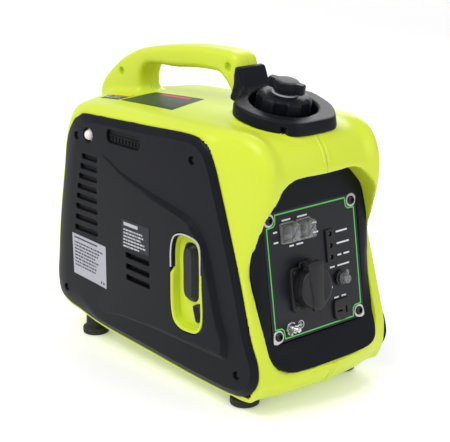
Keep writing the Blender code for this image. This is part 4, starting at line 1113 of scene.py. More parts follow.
outlet_outline = rounded_path([(-12.6, -4), (-11, -9.4), (-5.5, -12), (4, -12), (10, -10), (12.6, -5), (12.6, 7),
                               (11.4, 11), (7.5, 12), (-7.5, 12), (-11.4, 10.6), (-12.6, 6)], 4)
slots = [rounded_box(8.0, 2.2, 0.3, (-5.0, -1.2)), rounded_box(2.4, 8.6, 0.3, (5.4, -1.0))]
points, faces, kinds = relief(
    outlet_outline, [], slots,
    lambda u, v: 5.3 - 0.6 * (np.abs(outline_distance(outlet_outline, u, v)) < 0.05), -2.0, 1.9,
    [offset_outline(outlet_outline, 0.8)], 3.0)
# The slot floors take the second, near-black material: painted shadow in the slots.
outlet = solid("outlet_face", points, faces, plate_frame(*OUTLET), [FITTING_BLACK, DEEP_SHADOW], 30)
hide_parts("dc_outlet")
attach(outlet, "case")

thread = [(2.6 + 0.3 * (n % 2), 2.0 + 0.5 * n) for n in range(28)]
stud = solid("earth_stud", *combined(lathe([(0, -13), (2.6, -13)] + thread + [(2.0, 16.2), (0, 16.2)], 20),
                                     lathe([(3.0, 1.9), (7.4, 1.9), (7.4, 2.8), (3.0, 2.8)], 28)),
             plate_frame(*GROUND), [PLATED_STEEL], smooth=25)
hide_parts("ground_stud")
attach(stud, "case")
hub = lathe([(2.9, 3.0), (6.0, 3.0), (5.6, 6.0), (4.4, 9.2), (2.9, 9.2)], 24)
lobes = []
for side in (-1, 1):
    half_lobe = [(3.0, 3.2), (5.8, 3.2), (8.4, 7.2), (8.8, 9.6), (7.0, 10.2), (4.6, 8.4), (3.0, 7.4)]
    lobe = rounded_path([(side * u, out) for u, out in half_lobe], 3)[::side]
    wing_points, wing_faces = layered(lobe, [(0.4, -1.1), (0, -0.6), (0, 0.6), (0.4, 1.1)])
    lobes.append((wing_points[:, [0, 2, 1]], wing_faces))
washer = lathe([(3.1, 2.85), (6.4, 2.85), (6.4, 3.2), (3.1, 3.2)], 24)
wing_nut = solid("earth_wing_nut", *moved(combined(hub, washer, *lobes), Matrix.Rotation(math.radians(35), 4, "Z")),
                 plate_frame(*GROUND), [PLATED_STEEL], smooth=35)
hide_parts("ground_nut")
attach(wing_nut, "ground_nut")

# ==== tank collar ===================================================================================
# A thick black moulding lies on the lime plinth around the filler, leaning forward with it. Its rear end
# climbs the front leg of the handle as a saddle, and a liner closes the well around the filler neck.
COLLAR_DRAFT, SADDLE_HALF, LINER_DEPTH, NECK_RADIUS = 0.10, 20.5, 38.0, 25.6
SADDLE_OUTLINE = [(-86, 336), (-79, 341.5), (-74.5, 346), (-67.5, 362.5), (-65, 365.5), (-61, 366), (-58, 365),
                  (-58, 330), (-72, 329)]
COLLAR_GRID = 1.7


def collar_field(x, y, z):
    X, Y, Z = x[:, None, None], y[None, :, None], z[None, None, :]
    plan_x, plan_y = np.meshgrid(x, y, indexing="ij")
    plan = outline_distance(rounded_path(mirror_outline(COLLAR_PLAN + [(0, -72)]), 3), plan_x, plan_y)[:, :, None]
    depth = (collar_height(Y) - Z) * math.cos(FILLER_TILT)
    half = COLLAR_THICKNESS * math.cos(FILLER_TILT) / 2
    rounding = 2.4
    u = plan - COLLAR_DRAFT * depth + rounding
    w = np.abs(depth - half) - half + rounding
    slab = np.minimum(np.maximum(u, w), 0) + np.hypot(np.maximum(u, 0), np.maximum(w, 0)) - rounding
    flat_y, flat_z = np.meshgrid(y, z, indexing="ij")
    saddle_side = outline_distance(rounded_path(SADDLE_OUTLINE, 3), flat_y, flat_z)[None]
    flare = 7.0 * np.clip((349 - Z) / 16, 0, 1) ** 2
    saddle = arch(saddle_side, X, SADDLE_HALF + flare, 3.0)
    solid_field = soft_join(slab, saddle, 5.0)
    solid_field = soft_cut(solid_field, filler_radius(X, Y, Z) - WELL_RADIUS, 3.0)
    handle = arch(outline_distance(rounded_path(HANDLE_OUTLINE), flat_y, flat_z)[None], X, HANDLE_HALF, 8.0)
    solid_field = np.maximum(solid_field, -(handle - 0.2))
    notch = np.maximum(np.maximum(np.abs(Y + 160) - 3.4, np.abs(depth - 9.5) - 3.6), X + 37)
    notch = np.maximum(notch, -X - 70)
    return np.maximum(solid_field, -notch)


collar_points, collar_faces = skin(collar_field, (-66, -177, 298), (66, -54, 370), COLLAR_GRID)
filler_frame = Matrix.Translation(FILLER) @ Matrix.Rotation(FILLER_TILT, 4, "X")
liner = lathe([(WELL_RADIUS + 0.4, -13.2), (WELL_RADIUS + 0.4, -LINER_DEPTH), (NECK_RADIUS, -LINER_DEPTH),
               (NECK_RADIUS, -LINER_DEPTH + 1.2), (WELL_RADIUS - 0.9, -LINER_DEPTH + 1.2), (WELL_RADIUS - 0.9, -12.8),
               (WELL_RADIUS + 0.4, -12.8)], 56)
filler_collar = make("filler_collar", *combined((collar_points, collar_faces), moved(liner, filler_frame)),
                     [BLACK_ABS], smooth=50)
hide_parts("tank_collar")
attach(filler_collar, "case")

# ==== fuel cap and vent knob ========================================================================
# The cap is a black moulding with six broad ribs round its skirt. The vent knob on top turns to let air
# into the tank: a round head with two wings, over a pale index ring.
CAP_TOP, CAP_RADIUS, CAP_RIBS, RIB_DEPTH = 12.0, 31.2, 6, 2.6
KNOB_RADIUS, WING_REACH, WING_HALF, KNOB_HEIGHT, WING_TURN = 14.5, 22.2, 5.4, 15.2, math.radians(-69)
CAP_SKIRT = [(26.6, -20.0), (28.6, -21.0), (30.2, -20.0), (CAP_RADIUS, -8.0), (CAP_RADIUS, 5.5), (30.4, 8.6),
             (28.2, 10.6), (25.6, 11.6), (22.8, CAP_TOP), (0, CAP_TOP)]


def ring_faces(bands, count):
    """Quads between each ring of points and the next, for rings of equal count one after another."""
    return [[n * count + i, n * count + (i + 1) % count, (n + 1) * count + (i + 1) % count, (n + 1) * count + i]
            for n in range(bands) for i in range(count)]


def ribbed_cap(count=180):
    angles = np.arange(count) * 2 * math.pi / count
    wave = np.cos(CAP_RIBS * (angles + math.radians(50)))
    valley = np.clip(0.5 - wave * 3.2, 0, 1)
    valley = valley * valley * (3 - 2 * valley)
    rows = []
    for radius, height in CAP_SKIRT[:-1]:
        deep = RIB_DEPTH * np.clip((radius - 24.0) / 5.0, 0, 1) * (1 if height < 8 else 0.55)
        ring = radius - deep * valley
        rows.append(np.column_stack([ring * np.cos(angles), ring * np.sin(angles), np.full(count, height)]))
    inner = 26.6
    rows.insert(0, np.column_stack([inner * np.cos(angles), inner * np.sin(angles), np.full(count, -14.0)]))
    rows.insert(0, np.column_stack([0 * angles, 0 * angles, np.full(count, -14.0)]))
    rows.append(np.column_stack([0 * angles, 0 * angles, np.full(count, CAP_TOP)]))
    points = np.concatenate(rows)
    faces = ring_faces(len(rows) - 1, count)
    return points, faces


def weld(item, distance=0.02):
    bm = bmesh.new()
    bm.from_mesh(item.data)
    bmesh.ops.remove_doubles(bm, verts=bm.verts, dist=distance * MM)
    bmesh.ops.recalc_face_normals(bm, faces=bm.faces)
    bm.to_mesh(item.data)
    bm.free()


cap = solid("fuel_cap_moulding", *ribbed_cap(), filler_frame, [BLACK_ABS], smooth=40)
weld(cap)
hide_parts("fuel_cap")
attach(cap, "fuel_cap")

knob_angles = np.arange(120) * 2 * math.pi / 120
along, beside = np.abs(np.cos(knob_angles)), np.abs(np.sin(knob_angles))
bar = np.minimum(WING_REACH / np.maximum(along, 1e-6), WING_HALF / np.maximum(beside, 1e-6))
bar = np.minimum(bar, WING_REACH)
knob_reach = np.maximum(KNOB_RADIUS, bar)
for _ in range(2):
    knob_reach = 0.25 * np.roll(knob_reach, 1) + 0.5 * knob_reach + 0.25 * np.roll(knob_reach, -1)
knob_plan = np.stack([knob_reach * np.cos(knob_angles), knob_reach * np.sin(knob_angles)], 1)
knob_frame = filler_frame @ Matrix.Translation((0, 0, CAP_TOP)) @ Matrix.Rotation(WING_TURN, 4, "Z")
knob_head = layered(knob_plan, [(0.9, 3.4), (0.2, 4.0), (0.0, 5.0), (0.0, 12.6), (0.5, 14.0), (1.5, 14.9),
                                (2.6, 14.9)])
crown = lathe([(0, 13.6), (13.4, 14.4), (12.6, KNOB_HEIGHT - 0.3), (9, KNOB_HEIGHT), (0, KNOB_HEIGHT - 0.2)], 48)
stem = lathe([(0, 0.3), (12.6, 0.3), (12.6, 4.6), (0, 4.6)], 40)
knob = solid("vent_knob_head", *combined(knob_head, crown, stem), knob_frame, [BLACK_ABS], smooth=32)
index_ring = solid("vent_index_ring", *lathe([(12.4, 0.3), (15.4, 0.3), (15.2, 1.1), (12.4, 1.3)], 48), knob_frame,
                   [film("pale_index_print", (0.33, 0.34, 0.36), 0.5)], smooth=30)
for item in (knob, index_ring):
    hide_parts("vent_knob")
    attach(item, "vent_knob")

# ==== seam bead =====================================================================================
# Where the halves meet on the hood and the lower lip, each carries half of a low double bead that hides
# the joint line.
BEAD_SECTION = [(5.2, -0.8), (4.8, 0.5), (4.1, 1.05), (3.3, 1.1), (2.6, 0.55), (1.9, 0.3), (1.2, 0.35), (0.7, 0.3),
                (0.3, 0.0), (0.3, -0.8)]


def surface_run(start_angle, end_angle, centre, steps):
    """Points of the case's middle line seen from a centre (y, z) as the ray turns from one angle to the other."""
    near = case_points[np.abs(case_points[:, 0] - 3.0) < 1.4][:, 1:]
    offsets = near - centre
    angles = np.degrees(np.arctan2(offsets[:, 1], -offsets[:, 0]))
    reach = np.hypot(*offsets.T)
    result = []
    for angle in np.linspace(start_angle, end_angle, steps):
        window = np.abs(angles - angle) < 9.0
        outer = reach[window][reach[window] > reach[window].max() - 4]
        r = np.median(outer)
        result.append((centre[0] - r * math.cos(math.radians(angle)), centre[1] + r * math.sin(math.radians(angle))))
    run = np.array(result)
    for _ in range(3):
        run[1:-1] = 0.25 * run[:-2] + 0.5 * run[1:-1] + 0.25 * run[2:]
    return run


def bead(name, run, side):
    ahead = np.gradient(run, axis=0)
    ahead /= np.linalg.norm(ahead, axis=1)[:, None]
    out = np.stack([-ahead[:, 1], ahead[:, 0]], 1)
    if out[len(run) // 2] @ (run[len(run) // 2] - np.array([-100.0, 200.0])) < 0:
        out = -out
    rings = []
    for place, normal in zip(run, out):
        rings += [(side * x, place[0] + normal[0] * h, place[1] + normal[1] * h) for x, h in BEAD_SECTION]
    count = len(BEAD_SECTION)
    faces = ring_faces(len(run) - 1, count)
    faces += [list(range(count)), [(len(run) - 1) * count + i for i in range(count)]]
    item = solid(name, rings, faces, Matrix.Identity(4), [LIME_ABS], smooth=60)
    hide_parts("left_shell" if side < 0 else "right_shell")
    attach(item, "case")


hood_run = surface_run(20, 72, (-150.0, 262.0), 26)
lip_run = surface_run(-50, -5, (-160.0, 52.0), 22)
for side, label in ((-1, "left"), (1, "right")):
    bead(f"hood_bead_{label}", hood_run, side)
    bead(f"lip_bead_{label}", lip_run, side)

# ==== starter recess ================================================================================
# A lime tub let into the left cover holds the starter handle. A silver-painted trim caps the upper half
# of its rim, with black sides.
RECESS_RIM, RECESS_FLOOR, TRIM_LEVEL = 110.2, 65.0, 142.0
TUB_RINGS = [(1.6, 96.0), (0.3, 98.0), (0.3, 108.2), (0.9, RECESS_RIM), (1.8, 110.6), (3.2, 110.6), (4.2, 109.9),
             (4.8, 108.0), (5.4, 100.0), (6.2, 84.0), (7.6, 72.0), (10.4, 66.2), (12.5, RECESS_FLOOR)]
TRIM_SECTION = [(0.35, 102.5), (0.35, 110.0), (0.8, 110.9), (2.0, 110.9), (2.5, 110.2), (2.9, 102.5)]
RECESS_PATH = rounded_path(RECESS_OUTLINE, 5)


def tub():
    count = len(RECESS_PATH)
    rows = []
    for inset, reach in TUB_RINGS:
        ring = offset_outline(RECESS_PATH, inset)
        upper = RECESS_PATH[:, 1] > TRIM_LEVEL
        depth = np.where(upper & (reach > 104.5), 104.5, reach)
        rows.append(np.column_stack([-depth, ring]))
    points = np.concatenate(rows)
    faces = ring_faces(len(rows) - 1, count)
    faces += [list(range(count)), [(len(rows) - 1) * count + i for i in range(count)]]
    return points, faces


LIME_TUB = moulded("lime_tub", (0.60, 0.72, 0.030), (0.54, 0.66, 0.022), (0.72, 0.80, 0.14), 0.4, 1500.0, 0.25)
recess = solid("recess_tub", *tub(), Matrix.Identity(4), [LIME_TUB], smooth=38)
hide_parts("starter_recess")
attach(recess, "case")

SILVER_PAINT = metal("silver_paint", (0.60, 0.58, 0.60), (0.52, 0.50, 0.52), 0.32, 0.55, 1500.0, 0.1)
upper_path = [tuple(p) for p in RECESS_PATH if p[1] >= TRIM_LEVEL]
upper_path.sort(key=lambda p: math.atan2(p[1] - TRIM_LEVEL + 1, p[0] + 77))
open_path = np.array(upper_path)
tangent = np.gradient(open_path, axis=0)
tangent /= np.linalg.norm(tangent, axis=1)[:, None]
inward = np.stack([-tangent[:, 1], tangent[:, 0]], 1)
trim_points, trim_faces, trim_kinds = [], [], []
section_count = len(TRIM_SECTION)
for p, normal in zip(open_path, inward):
    trim_points += [(-reach, p[0] + normal[0] * inset, p[1] + normal[1] * inset) for inset, reach in TRIM_SECTION]
for n in range(len(open_path) - 1):
    for i in range(section_count):
        j = (i + 1) % section_count
        trim_faces.append([n * section_count + i, n * section_count + j, (n + 1) * section_count + j,
                           (n + 1) * section_count + i])
        trim_kinds.append(0 if 1 <= i <= 3 else 1)
for end in (0, len(open_path) - 1):
    trim_faces.append([end * section_count + i for i in range(section_count)])
    trim_kinds.append(1)
trim = solid("recess_trim_band", trim_points, trim_faces, Matrix.Identity(4), [SILVER_PAINT, BLACK_ABS], 35,
             kinds=trim_kinds)
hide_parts("recess_trim")
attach(trim, "case")

# ==== starter handle, rope and choke ================================================================
# The handle is a black bar with bevelled faces, knotted to a braided rope that runs through a guide to
# the pulley. Under it, the choke lever is a ribbed black paddle on a shaft.
ROPE_Y, ROPE_Z, GRIP_BACK, GRIP_FACE = -76.0, 145.0, 87.5, 106.0
ROPE_RADIUS, ROPE_END, ROPE_START = 1.9, 92.4, 0.6
grip_plan = rounded_path([(-13.6, -20), (-12.6, -30), (-7, -35), (4, -35.8), (10.5, -32), (13.8, -24), (14, 0),
                          (13.2, 24), (8.5, 33), (-1, 36), (-8, 34.6), (-12.8, 28), (-14, 10)], 4)
grip_levels = [(2.2, GRIP_BACK), (0.5, 89.0), (0.0, 91.0), (0.0, 98.5), (1.2, 100.4), (6.0, 105.3), (7.2, GRIP_FACE)]
grip_points, grip_faces = layered(grip_plan, grip_levels)
stem_part = layered(rounded_box(12, 20, 3), [(0.6, 78.2), (0, 79.0), (0, 88.5)])
grip_set = combined((grip_points, grip_faces), stem_part)
grip_place = np.column_stack([-grip_set[0][:, 2], grip_set[0][:, 0] + ROPE_Y, grip_set[0][:, 1] + ROPE_Z])
GRIP_PLASTIC = moulded("grip_plastic", (0.006, 0.0064, 0.009), (0.008, 0.0085, 0.0115), (0.04, 0.04, 0.045), 0.36,
                       1700.0, 0.3, dust=0.03, gloss=0.3)
grip = solid("starter_handle_bar", grip_place, grip_set[1], Matrix.Identity(4), [GRIP_PLASTIC], smooth=24)
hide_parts("starter_grip")
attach(grip, "starter_grip")

guide_body = lathe([(2.7, 0), (6.8, 0), (6.8, 12.5), (6.2, 14.4), (4.6, 15.4), (3.4, 15.0), (2.7, 13.6),
                    (2.7, 0)], 32)
guide_bar = layered(rounded_box(30, 13, 3.0, (10, 0)), [(0.6, 2.0), (0, 2.6), (0, 6.6), (0.6, 7.4)])
guide = solid("rope_guide_bush", *combined(guide_body, guide_bar),
              Matrix.Translation((-58.6, ROPE_Y, ROPE_Z)) @ Matrix.Rotation(math.radians(-90), 4, "Y")
              @ Matrix.Rotation(math.radians(90), 4, "Z"), [FITTING_BLACK], smooth=35)
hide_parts("rope_guide")
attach(guide, "case")


def braid():
    """Braided nylon: two families of strands in a fine diamond weave."""
    material = bpy.data.materials.new("braided_nylon")
    material.use_nodes = True
    tree = material.node_tree
    shader = tree.nodes["Principled BSDF"]
    place = tree.nodes.new("ShaderNodeTexCoord").outputs["Object"]
    heights = []
    for turn in (-45, 45):
        lean_node = tree.nodes.new("ShaderNodeMapping")
        lean_node.inputs["Rotation"].default_value = (math.radians(turn), math.radians(turn), 0)
        tree.links.new(place, lean_node.inputs["Vector"])
        wave = tree.nodes.new("ShaderNodeTexWave")
        wave.inputs["Scale"].default_value = 420.0
        wave.inputs["Distortion"].default_value = 0.6
        tree.links.new(lean_node.outputs["Vector"], wave.inputs["Vector"])
        heights.append(wave.outputs["Fac"])
    weave = math_node(tree, "MAXIMUM", heights[0], heights[1])
    tree.links.new(mix_colour(tree, weave, (0.006, 0.006, 0.007), (0.05, 0.05, 0.052)), shader.inputs["Base Color"])
    relief_node = tree.nodes.new("ShaderNodeBump")
    relief_node.inputs["Strength"].default_value = 0.8
    relief_node.inputs["Distance"].default_value = 0.0003
    tree.links.new(weave, relief_node.inputs["Height"])
    tree.links.new(relief_node.outputs["Normal"], shader.inputs["Normal"])
    shader.inputs["Roughness"].default_value = 0.7
    return material


ROPE_SIDES, ROPE_RINGS = 16, 60
rope_rows = []
for n in range(ROPE_RINGS + 1):
    x = -ROPE_START - (ROPE_END - ROPE_START) * n / ROPE_RINGS
    for i in range(ROPE_SIDES):
        angle = 2 * math.pi * i / ROPE_SIDES
        bulge = ROPE_RADIUS * (0.96 + 0.04 * math.cos(4 * angle + 1.7 * n))
        rope_rows.append((x, ROPE_Y + bulge * math.cos(angle), ROPE_Z + bulge * math.sin(angle)))
rope_faces = ring_faces(ROPE_RINGS, ROPE_SIDES)
rope_faces += [list(range(ROPE_SIDES)), [ROPE_RINGS * ROPE_SIDES + i for i in range(ROPE_SIDES)]]
rope = solid("starter_rope_braid", rope_rows, rope_faces, Matrix.Identity(4), [braid()], smooth=60)
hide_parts("starter_rope")
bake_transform(rope)

CHOKE_Y, CHOKE_Z = -86.0, 98.0
paddle_plan = [(-6.2, 12.2), (3.4, 9.6), (6.6, 6.0), (4.8, -2.0), (1.6, -10.6), (-3.4, -10.2), (-7.4, 1.0),
               (-9.6, 8.6)]
paddle = layered(rounded_path(paddle_plan, 3)[::-1], [(0.9, 91.0), (0, 92.0), (0, 101.0), (0.8, 102.2)])
ribs = [layered(rounded_box(1.2, 17.5, 0.5, (0, 0)), [(0, 101.6), (0.2, 103.0)]) for _ in range(3)]
ribs = [moved(rib, Matrix.Translation((offset, 0.2, 0)) @ Matrix.Rotation(math.radians(-20), 4, "Z"))
        for rib, offset in zip(ribs, (-4.4, -1.2, 2.0))]
shaft = layered(circle(3.0, (0, 0), 20), [(0, 62.2), (0, 92.0)])
choke_set = combined(paddle, *ribs, shaft)
choke_place = np.column_stack([-choke_set[0][:, 2], choke_set[0][:, 0] + CHOKE_Y, choke_set[0][:, 1] + CHOKE_Z])
choke = solid("choke_paddle", choke_place, choke_set[1], Matrix.Identity(4), [GRIP_PLASTIC], smooth=28)
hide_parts("choke_lever")
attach(choke, "choke_lever")

# ==== primer bulb and sight window ==================================================================
# A white silicone bulb stands in a round hole of the cover. Beside it, a slot shows the louvred inside
# of the case: black slats over a floor darkened as painted shadow.


def silicone():
    material = bpy.data.materials.new("white_silicone")
    material.use_nodes = True
    tree = material.node_tree
    shader = tree.nodes["Principled BSDF"]
    place = tree.nodes.new("ShaderNodeTexCoord").outputs["Object"]
    cloud = noise_node(tree, place, 180.0, 3.0)
    tree.links.new(mix_colour(tree, cloud, (0.76, 0.70, 0.69), (0.86, 0.82, 0.80)), shader.inputs["Base Color"])
    shader.inputs["Roughness"].default_value = 0.3
    shader.inputs["Subsurface Weight"].default_value = 0.25
    shader.inputs["Subsurface Scale"].default_value = 0.003
    relief_node = tree.nodes.new("ShaderNodeBump")
    relief_node.inputs["Strength"].default_value = 0.2
    relief_node.inputs["Distance"].default_value = 0.0002
    tree.links.new(cloud, relief_node.inputs["Height"])
    tree.links.new(relief_node.outputs["Normal"], shader.inputs["Normal"])
    return material


bulb_profile = [(0, 8.2), (2.4, 7.9), (4.5, 6.6), (5.9, 4.2), (6.5, 1.4), (6.6, -2), (6.6, -6.6), (8.5, -7.0),
                (8.5, -8.8), (5.4, -8.8), (0, -8.6)]
bulb = solid("primer_dome", *lathe(bulb_profile, 36), sideways(-1, 101, *PRIMER_PLACE), [silicone()], smooth=50)
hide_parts("primer_bulb")
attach(bulb, "primer_bulb")
# A near-black lining inside the bulb's hole: painted shadow in the hole.
well = lathe([(9.35, 3.4), (9.35, -18.0), (8.9, -18.0), (8.9, 3.4), (9.35, 3.4)], 36)
well_item = solid("primer_well", *well, sideways(-1, 101, *PRIMER_PLACE), [DEEP_SHADOW], smooth=30)
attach(well_item, "case")
SLAT_COUNT, SLAT_PITCH, FIRST_SLAT = 9, 6.4, -26
slats = [layered(rounded_box(1.4, 6.0, 0.4, (FIRST_SLAT + n * SLAT_PITCH, -3.6)), [(0, 1.0), (0.3, 2.6)])
         for n in range(SLAT_COUNT)]
ledge = layered(rounded_box(60, 1.2, 0.5, (0, 0.6)), [(0, 1.0), (0.3, 3.0)])
slat_set = combined(*slats, ledge)
window_place = np.column_stack([-100.3 - slat_set[0][:, 2], WINDOW_MIDDLE[0] + slat_set[0][:, 0],
                                WINDOW_MIDDLE[1] + slat_set[0][:, 1]])
slat_item = solid("window_slats", window_place, slat_set[1], Matrix.Identity(4), [BLACK_ABS], smooth=30)
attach(slat_item, "case")

# ==== feet ==========================================================================================
# Four mushroom feet in moulded rubber: a wide soft disc with a grooved edge on a narrower stem, each
# pressed into a hole in the bottom of the case.
RUBBER = moulded("foot_rubber", (0.010, 0.010, 0.011), (0.015, 0.015, 0.016), (0.04, 0.04, 0.04), 0.7, 900.0, 0.35,
                 dust=0.15)
FOOT_X, FOOT_ENDS = 77.0, {"front": (-140.0, 12.0), "rear": (151.0, 24.0)}
FOOT_DISC = [(0, 0), (15.4, 0), (16.6, 0.9), (17, 2.4), (17, 4.0), (16.5, 4.6), (17, 5.2), (17, 7.0), (16.2, 8.4),
             (13.2, 9.3)]
for end, (foot_y, top) in FOOT_ENDS.items():
    for label, side in (("left", -1), ("right", 1)):
        stem_part = [(12.6, 9.8), (12.0, top - 0.4), (4.2, top), (4.2, top + 8), (0, top + 8)]
        foot = solid(f"rubber_foot_{end}_{label}", *lathe(FOOT_DISC + stem_part, 40),
                     Matrix.Translation((side * FOOT_X, foot_y, 0)), [RUBBER], smooth=40)
        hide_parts(f"foot_{end}_{label}")
        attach(foot, "case")

# ==== rear grille and exhaust =======================================================================
# A louvred black grille closes the back. Its slats lean down over the slots, and the steel tail of the
# silencer shows in a round window at its middle.
GRILLE_Z, GRILLE_Y, TAIL_Z, TAIL_WINDOW = 171.3, 199.3, 170.0, 10.8
grille_slats = [rounded_box(72, 7.4, 2.0, (0, TAIL_Z + (n - 4) * 16), 3) for n in range(9) if n != 4]
grille_slats += [rounded_box(22, 7.4, 2.0, (side * 25, TAIL_Z), 3) for side in (-1, 1)]
grille_slats.append(circle(TAIL_WINDOW, (0, TAIL_Z), 32))
grille_path = rounded_box(90, 159.4, 3.0, (0, GRILLE_Z), 4)


def grille_face(u, v):
    rim = np.clip(-outline_distance(grille_path, u, v) / 2.2, 0, 1)
    fold = 0.5 - 0.5 * np.cos((v - TAIL_Z) * 2 * math.pi / 16)
    return 1.3 + 0.9 * rim + 0.4 * fold * rim


grille_points, grille_faces, _ = relief(grille_path, grille_slats, [], grille_face, 0.3, 0.0, [], 4.0)
grille = solid("louvred_grille", [(u, GRILLE_Y + h, v) for u, v, h in grille_points], grille_faces,
               Matrix.Identity(4), [BLACK_ABS, DEEP_SHADOW], smooth=30)
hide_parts("rear_grille")
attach(grille, "case")
# Flat near-black panels behind the slots: painted shadow in place of the shaded inside of the case.
SHADE_BACK, SHADE_THICK = 197.5, 1.2
shade_panels = [(84, 67, 0, 215.4), (84, 64, 0, 126.0), (31, 22.4, 26.5, TAIL_Z), (31, 22.4, -26.5, TAIL_Z)]
mesh = combined(*[layered(rounded_box(width, tall, 0.5, (x, z)), [(0, 0), (0, SHADE_THICK)])
                  for width, tall, x, z in shade_panels])
backing = solid("grille_mesh", np.column_stack([mesh[0][:, 0], SHADE_BACK + mesh[0][:, 2], mesh[0][:, 1]]), mesh[1],
                Matrix.Identity(4), [DEEP_SHADOW], smooth=30)
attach(backing, "case")

# ==== labels ========================================================================================
# Printed film labels: a silver rating plate and a dark one on the left cover, and two on the top of the
# case behind the filler. Plain bars stand for the printing.
SILVER_FILM = metal("silver_label_film", (0.44, 0.44, 0.49), (0.38, 0.38, 0.43), 0.42, 0.25, 1200.0, 0.05)
DARK_FILM = film("dark_label_film", (0.010, 0.011, 0.020), 0.4)
GREEN_FILM = film("dark_green_label_film", (0.008, 0.022, 0.012), 0.4)
INK = film("label_ink", (0.045, 0.045, 0.055), 0.5)
PALE_INK = film("pale_label_ink", (0.42, 0.43, 0.45), 0.5)
GREEN_INK = film("green_label_ink", (0.045, 0.10, 0.045), 0.5)
RED_BAND = film("red_label_band", (0.52, 0.015, 0.02), 0.45)
YELLOW_BAND = film("yellow_label_band", (0.72, 0.56, 0.01), 0.45)


def bars(rows, columns, seed, pitch, thick, left, right, first, last):
    """Rows of short dashes in place of text: one where a cell is inked."""
    chance = np.random.default_rng(seed)
    cells = np.zeros((rows, columns), int)
    for row in range(first, last, pitch):
        end = right - chance.integers(0, max(2, (right - left) // 3))
        at = left
        while at < end:
            run = int(chance.integers(2, 7))
            cells[row:row + thick, at:min(at + run, end)] = 1
            at += run + 1
    return cells


def sticker(name, corners, cells, place, lift, materials):
    """A thin film over the surface, from its four corners, with one material for each kind of cell."""
    rows, columns = cells.shape
    a, b, c, d = (np.array(p, float) for p in corners)
    s, t = np.meshgrid(np.linspace(0, 1, columns + 1), np.linspace(0, 1, rows + 1))
    s, t = s[..., None], t[..., None]
    grid = ((1 - t) * ((1 - s) * a + s * b) + t * ((1 - s) * c + s * d)).reshape(-1, 2)
    points = np.concatenate([place(grid, lift), place(grid, 0.04)])
    wide, total = columns + 1, len(grid)
    faces, kinds = [], []
    for i in range(rows):
        for j in range(columns):
            k = i * wide + j
            faces.append([k, k + 1, k + wide + 1, k + wide])
            faces.append([total + k + wide, total + k + wide + 1, total + k + 1, total + k])
            kinds += [int(cells[i, j]), 0]
    rim = ([j for j in range(columns)] + [i * wide + columns for i in range(rows)]
           + [rows * wide + columns - j for j in range(columns)] + [(rows - i) * wide for i in range(rows)])
    for one, two in zip(rim, rim[1:] + rim[:1]):
        faces.append([two, one, one + total, two + total])
        kinds.append(0)
    item = solid(name, points, faces, Matrix.Identity(4), materials, smooth=30, kinds=kinds)
    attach(item, "case")


def on_cover(grid, lift):
    return np.column_stack([-cover_face(grid[:, 0], grid[:, 1]) - lift, grid])


rating = bars(50, 70, 11, 4, 2, 4, 66, 9, 40)
rating[3:5, 4:52] = 1
rating[44:47, 58:61] = rating[44:47, 63:66] = 1
sticker("rating_label", [(153.5, 139.9), (81.4, 137.6), (152.7, 87.1), (82.3, 83.3)], rating, on_cover, 0.35,
        [SILVER_FILM, INK])
notes = bars(34, 54, 12, 4, 2, 4, 50, 11, 32)
notes[3:7, 4:32] = 1
sticker("dark_label", [(45, 182.5), (-10, 182.7), (47, 147.5), (-9, 148.5)], notes, on_cover, 0.35,
        [DARK_FILM, PALE_INK])

case_tree = BVHTree.FromPolygons([tuple(p) for p in case_points], [tuple(map(int, f)) for f in case_faces])


def on_top(grid, lift):
    result = []
    for x, y in grid:
        hit = case_tree.ray_cast(Vector((x, y, 328)), Vector((0, 0, -1)))[0]
        result.append((x, y, (hit.z if hit else 305.0) + lift))
    return np.array(result)


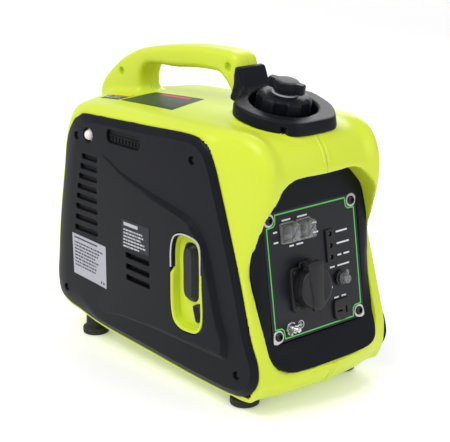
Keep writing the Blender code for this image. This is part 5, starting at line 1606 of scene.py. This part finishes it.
warning = 2 * bars(40, 100, 13, 4, 2, 3, 96, 11, 38)
warning[3:8, 22:80] = 1
sticker("top_label_long", [(-3, 110), (5, 26), (-58, 108), (-61, 5)], warning, on_top, 0.3,
        [GREEN_FILM, RED_BAND, GREEN_INK])
caution = 2 * bars(24, 36, 14, 4, 2, 14, 34, 10, 22)
caution[0:8] = 1
caution[11:19, 3:10] = 2
sticker("top_label_small", [(-34, 158), (-32, 116), (-62, 146), (-59, 113)], caution, on_top, 0.3,
        [DARK_FILM, YELLOW_BAND, PALE_INK])

# ==== engine, alternator and tank ===================================================================
# The working parts inside are cast alloy, turned steel, wound copper, blow-moulded plastic and ceramic.
# Their shapes come from the CAD, and each gets the finish of its metal or plastic here.
CAST_ALLOY = metal("cast_alloy_skin", (0.42, 0.42, 0.43), (0.33, 0.33, 0.33), 0.52, 0.9, 260.0, 0.5)
TURNED_STEEL = metal("turned_steel_skin", (0.50, 0.50, 0.51), (0.42, 0.41, 0.40), 0.30, 1.0, 1400.0, 0.2)
HOT_STEEL = metal("heat_tinted_steel", (0.34, 0.30, 0.26), (0.20, 0.17, 0.17), 0.40, 1.0, 700.0, 0.3)
WOUND_COPPER = metal("lacquered_copper", (0.45, 0.16, 0.06), (0.33, 0.11, 0.04), 0.34, 0.9, 2200.0, 0.6)
TANK_PLASTIC = moulded("blow_moulded_tank", (0.55, 0.53, 0.46), (0.50, 0.48, 0.40), (0.62, 0.60, 0.54), 0.45, 500.0,
                       0.3)
GLAZED_CERAMIC = moulded("glazed_ceramic", (0.74, 0.74, 0.71), (0.68, 0.68, 0.66), (0.8, 0.8, 0.78), 0.14, 300.0,
                         0.05, coat=0.4)
INNER_BLACK = moulded("inner_black_plastic", (0.012, 0.012, 0.013), (0.017, 0.017, 0.018), (0.04, 0.04, 0.04), 0.55,
                      1100.0, 0.4)
INSIDE = {
    "fuel_tank": TANK_PLASTIC, "starter_housing": INNER_BLACK, "starter_pulley": INNER_BLACK,
    "air_filter_box": INNER_BLACK, "crankcase": CAST_ALLOY, "cylinder_head": CAST_ALLOY, "carburettor": CAST_ALLOY,
    "inverter_unit": CAST_ALLOY, "crankshaft": TURNED_STEEL, "alternator_rotor": TURNED_STEEL, "muffler": HOT_STEEL,
    "stator": WOUND_COPPER, "spark_plug": GLAZED_CERAMIC, "lid_pin": TURNED_STEEL}
for name, material in INSIDE.items():
    part = bpy.data.objects[name]
    for place in part.material_slots:
        place.material = material
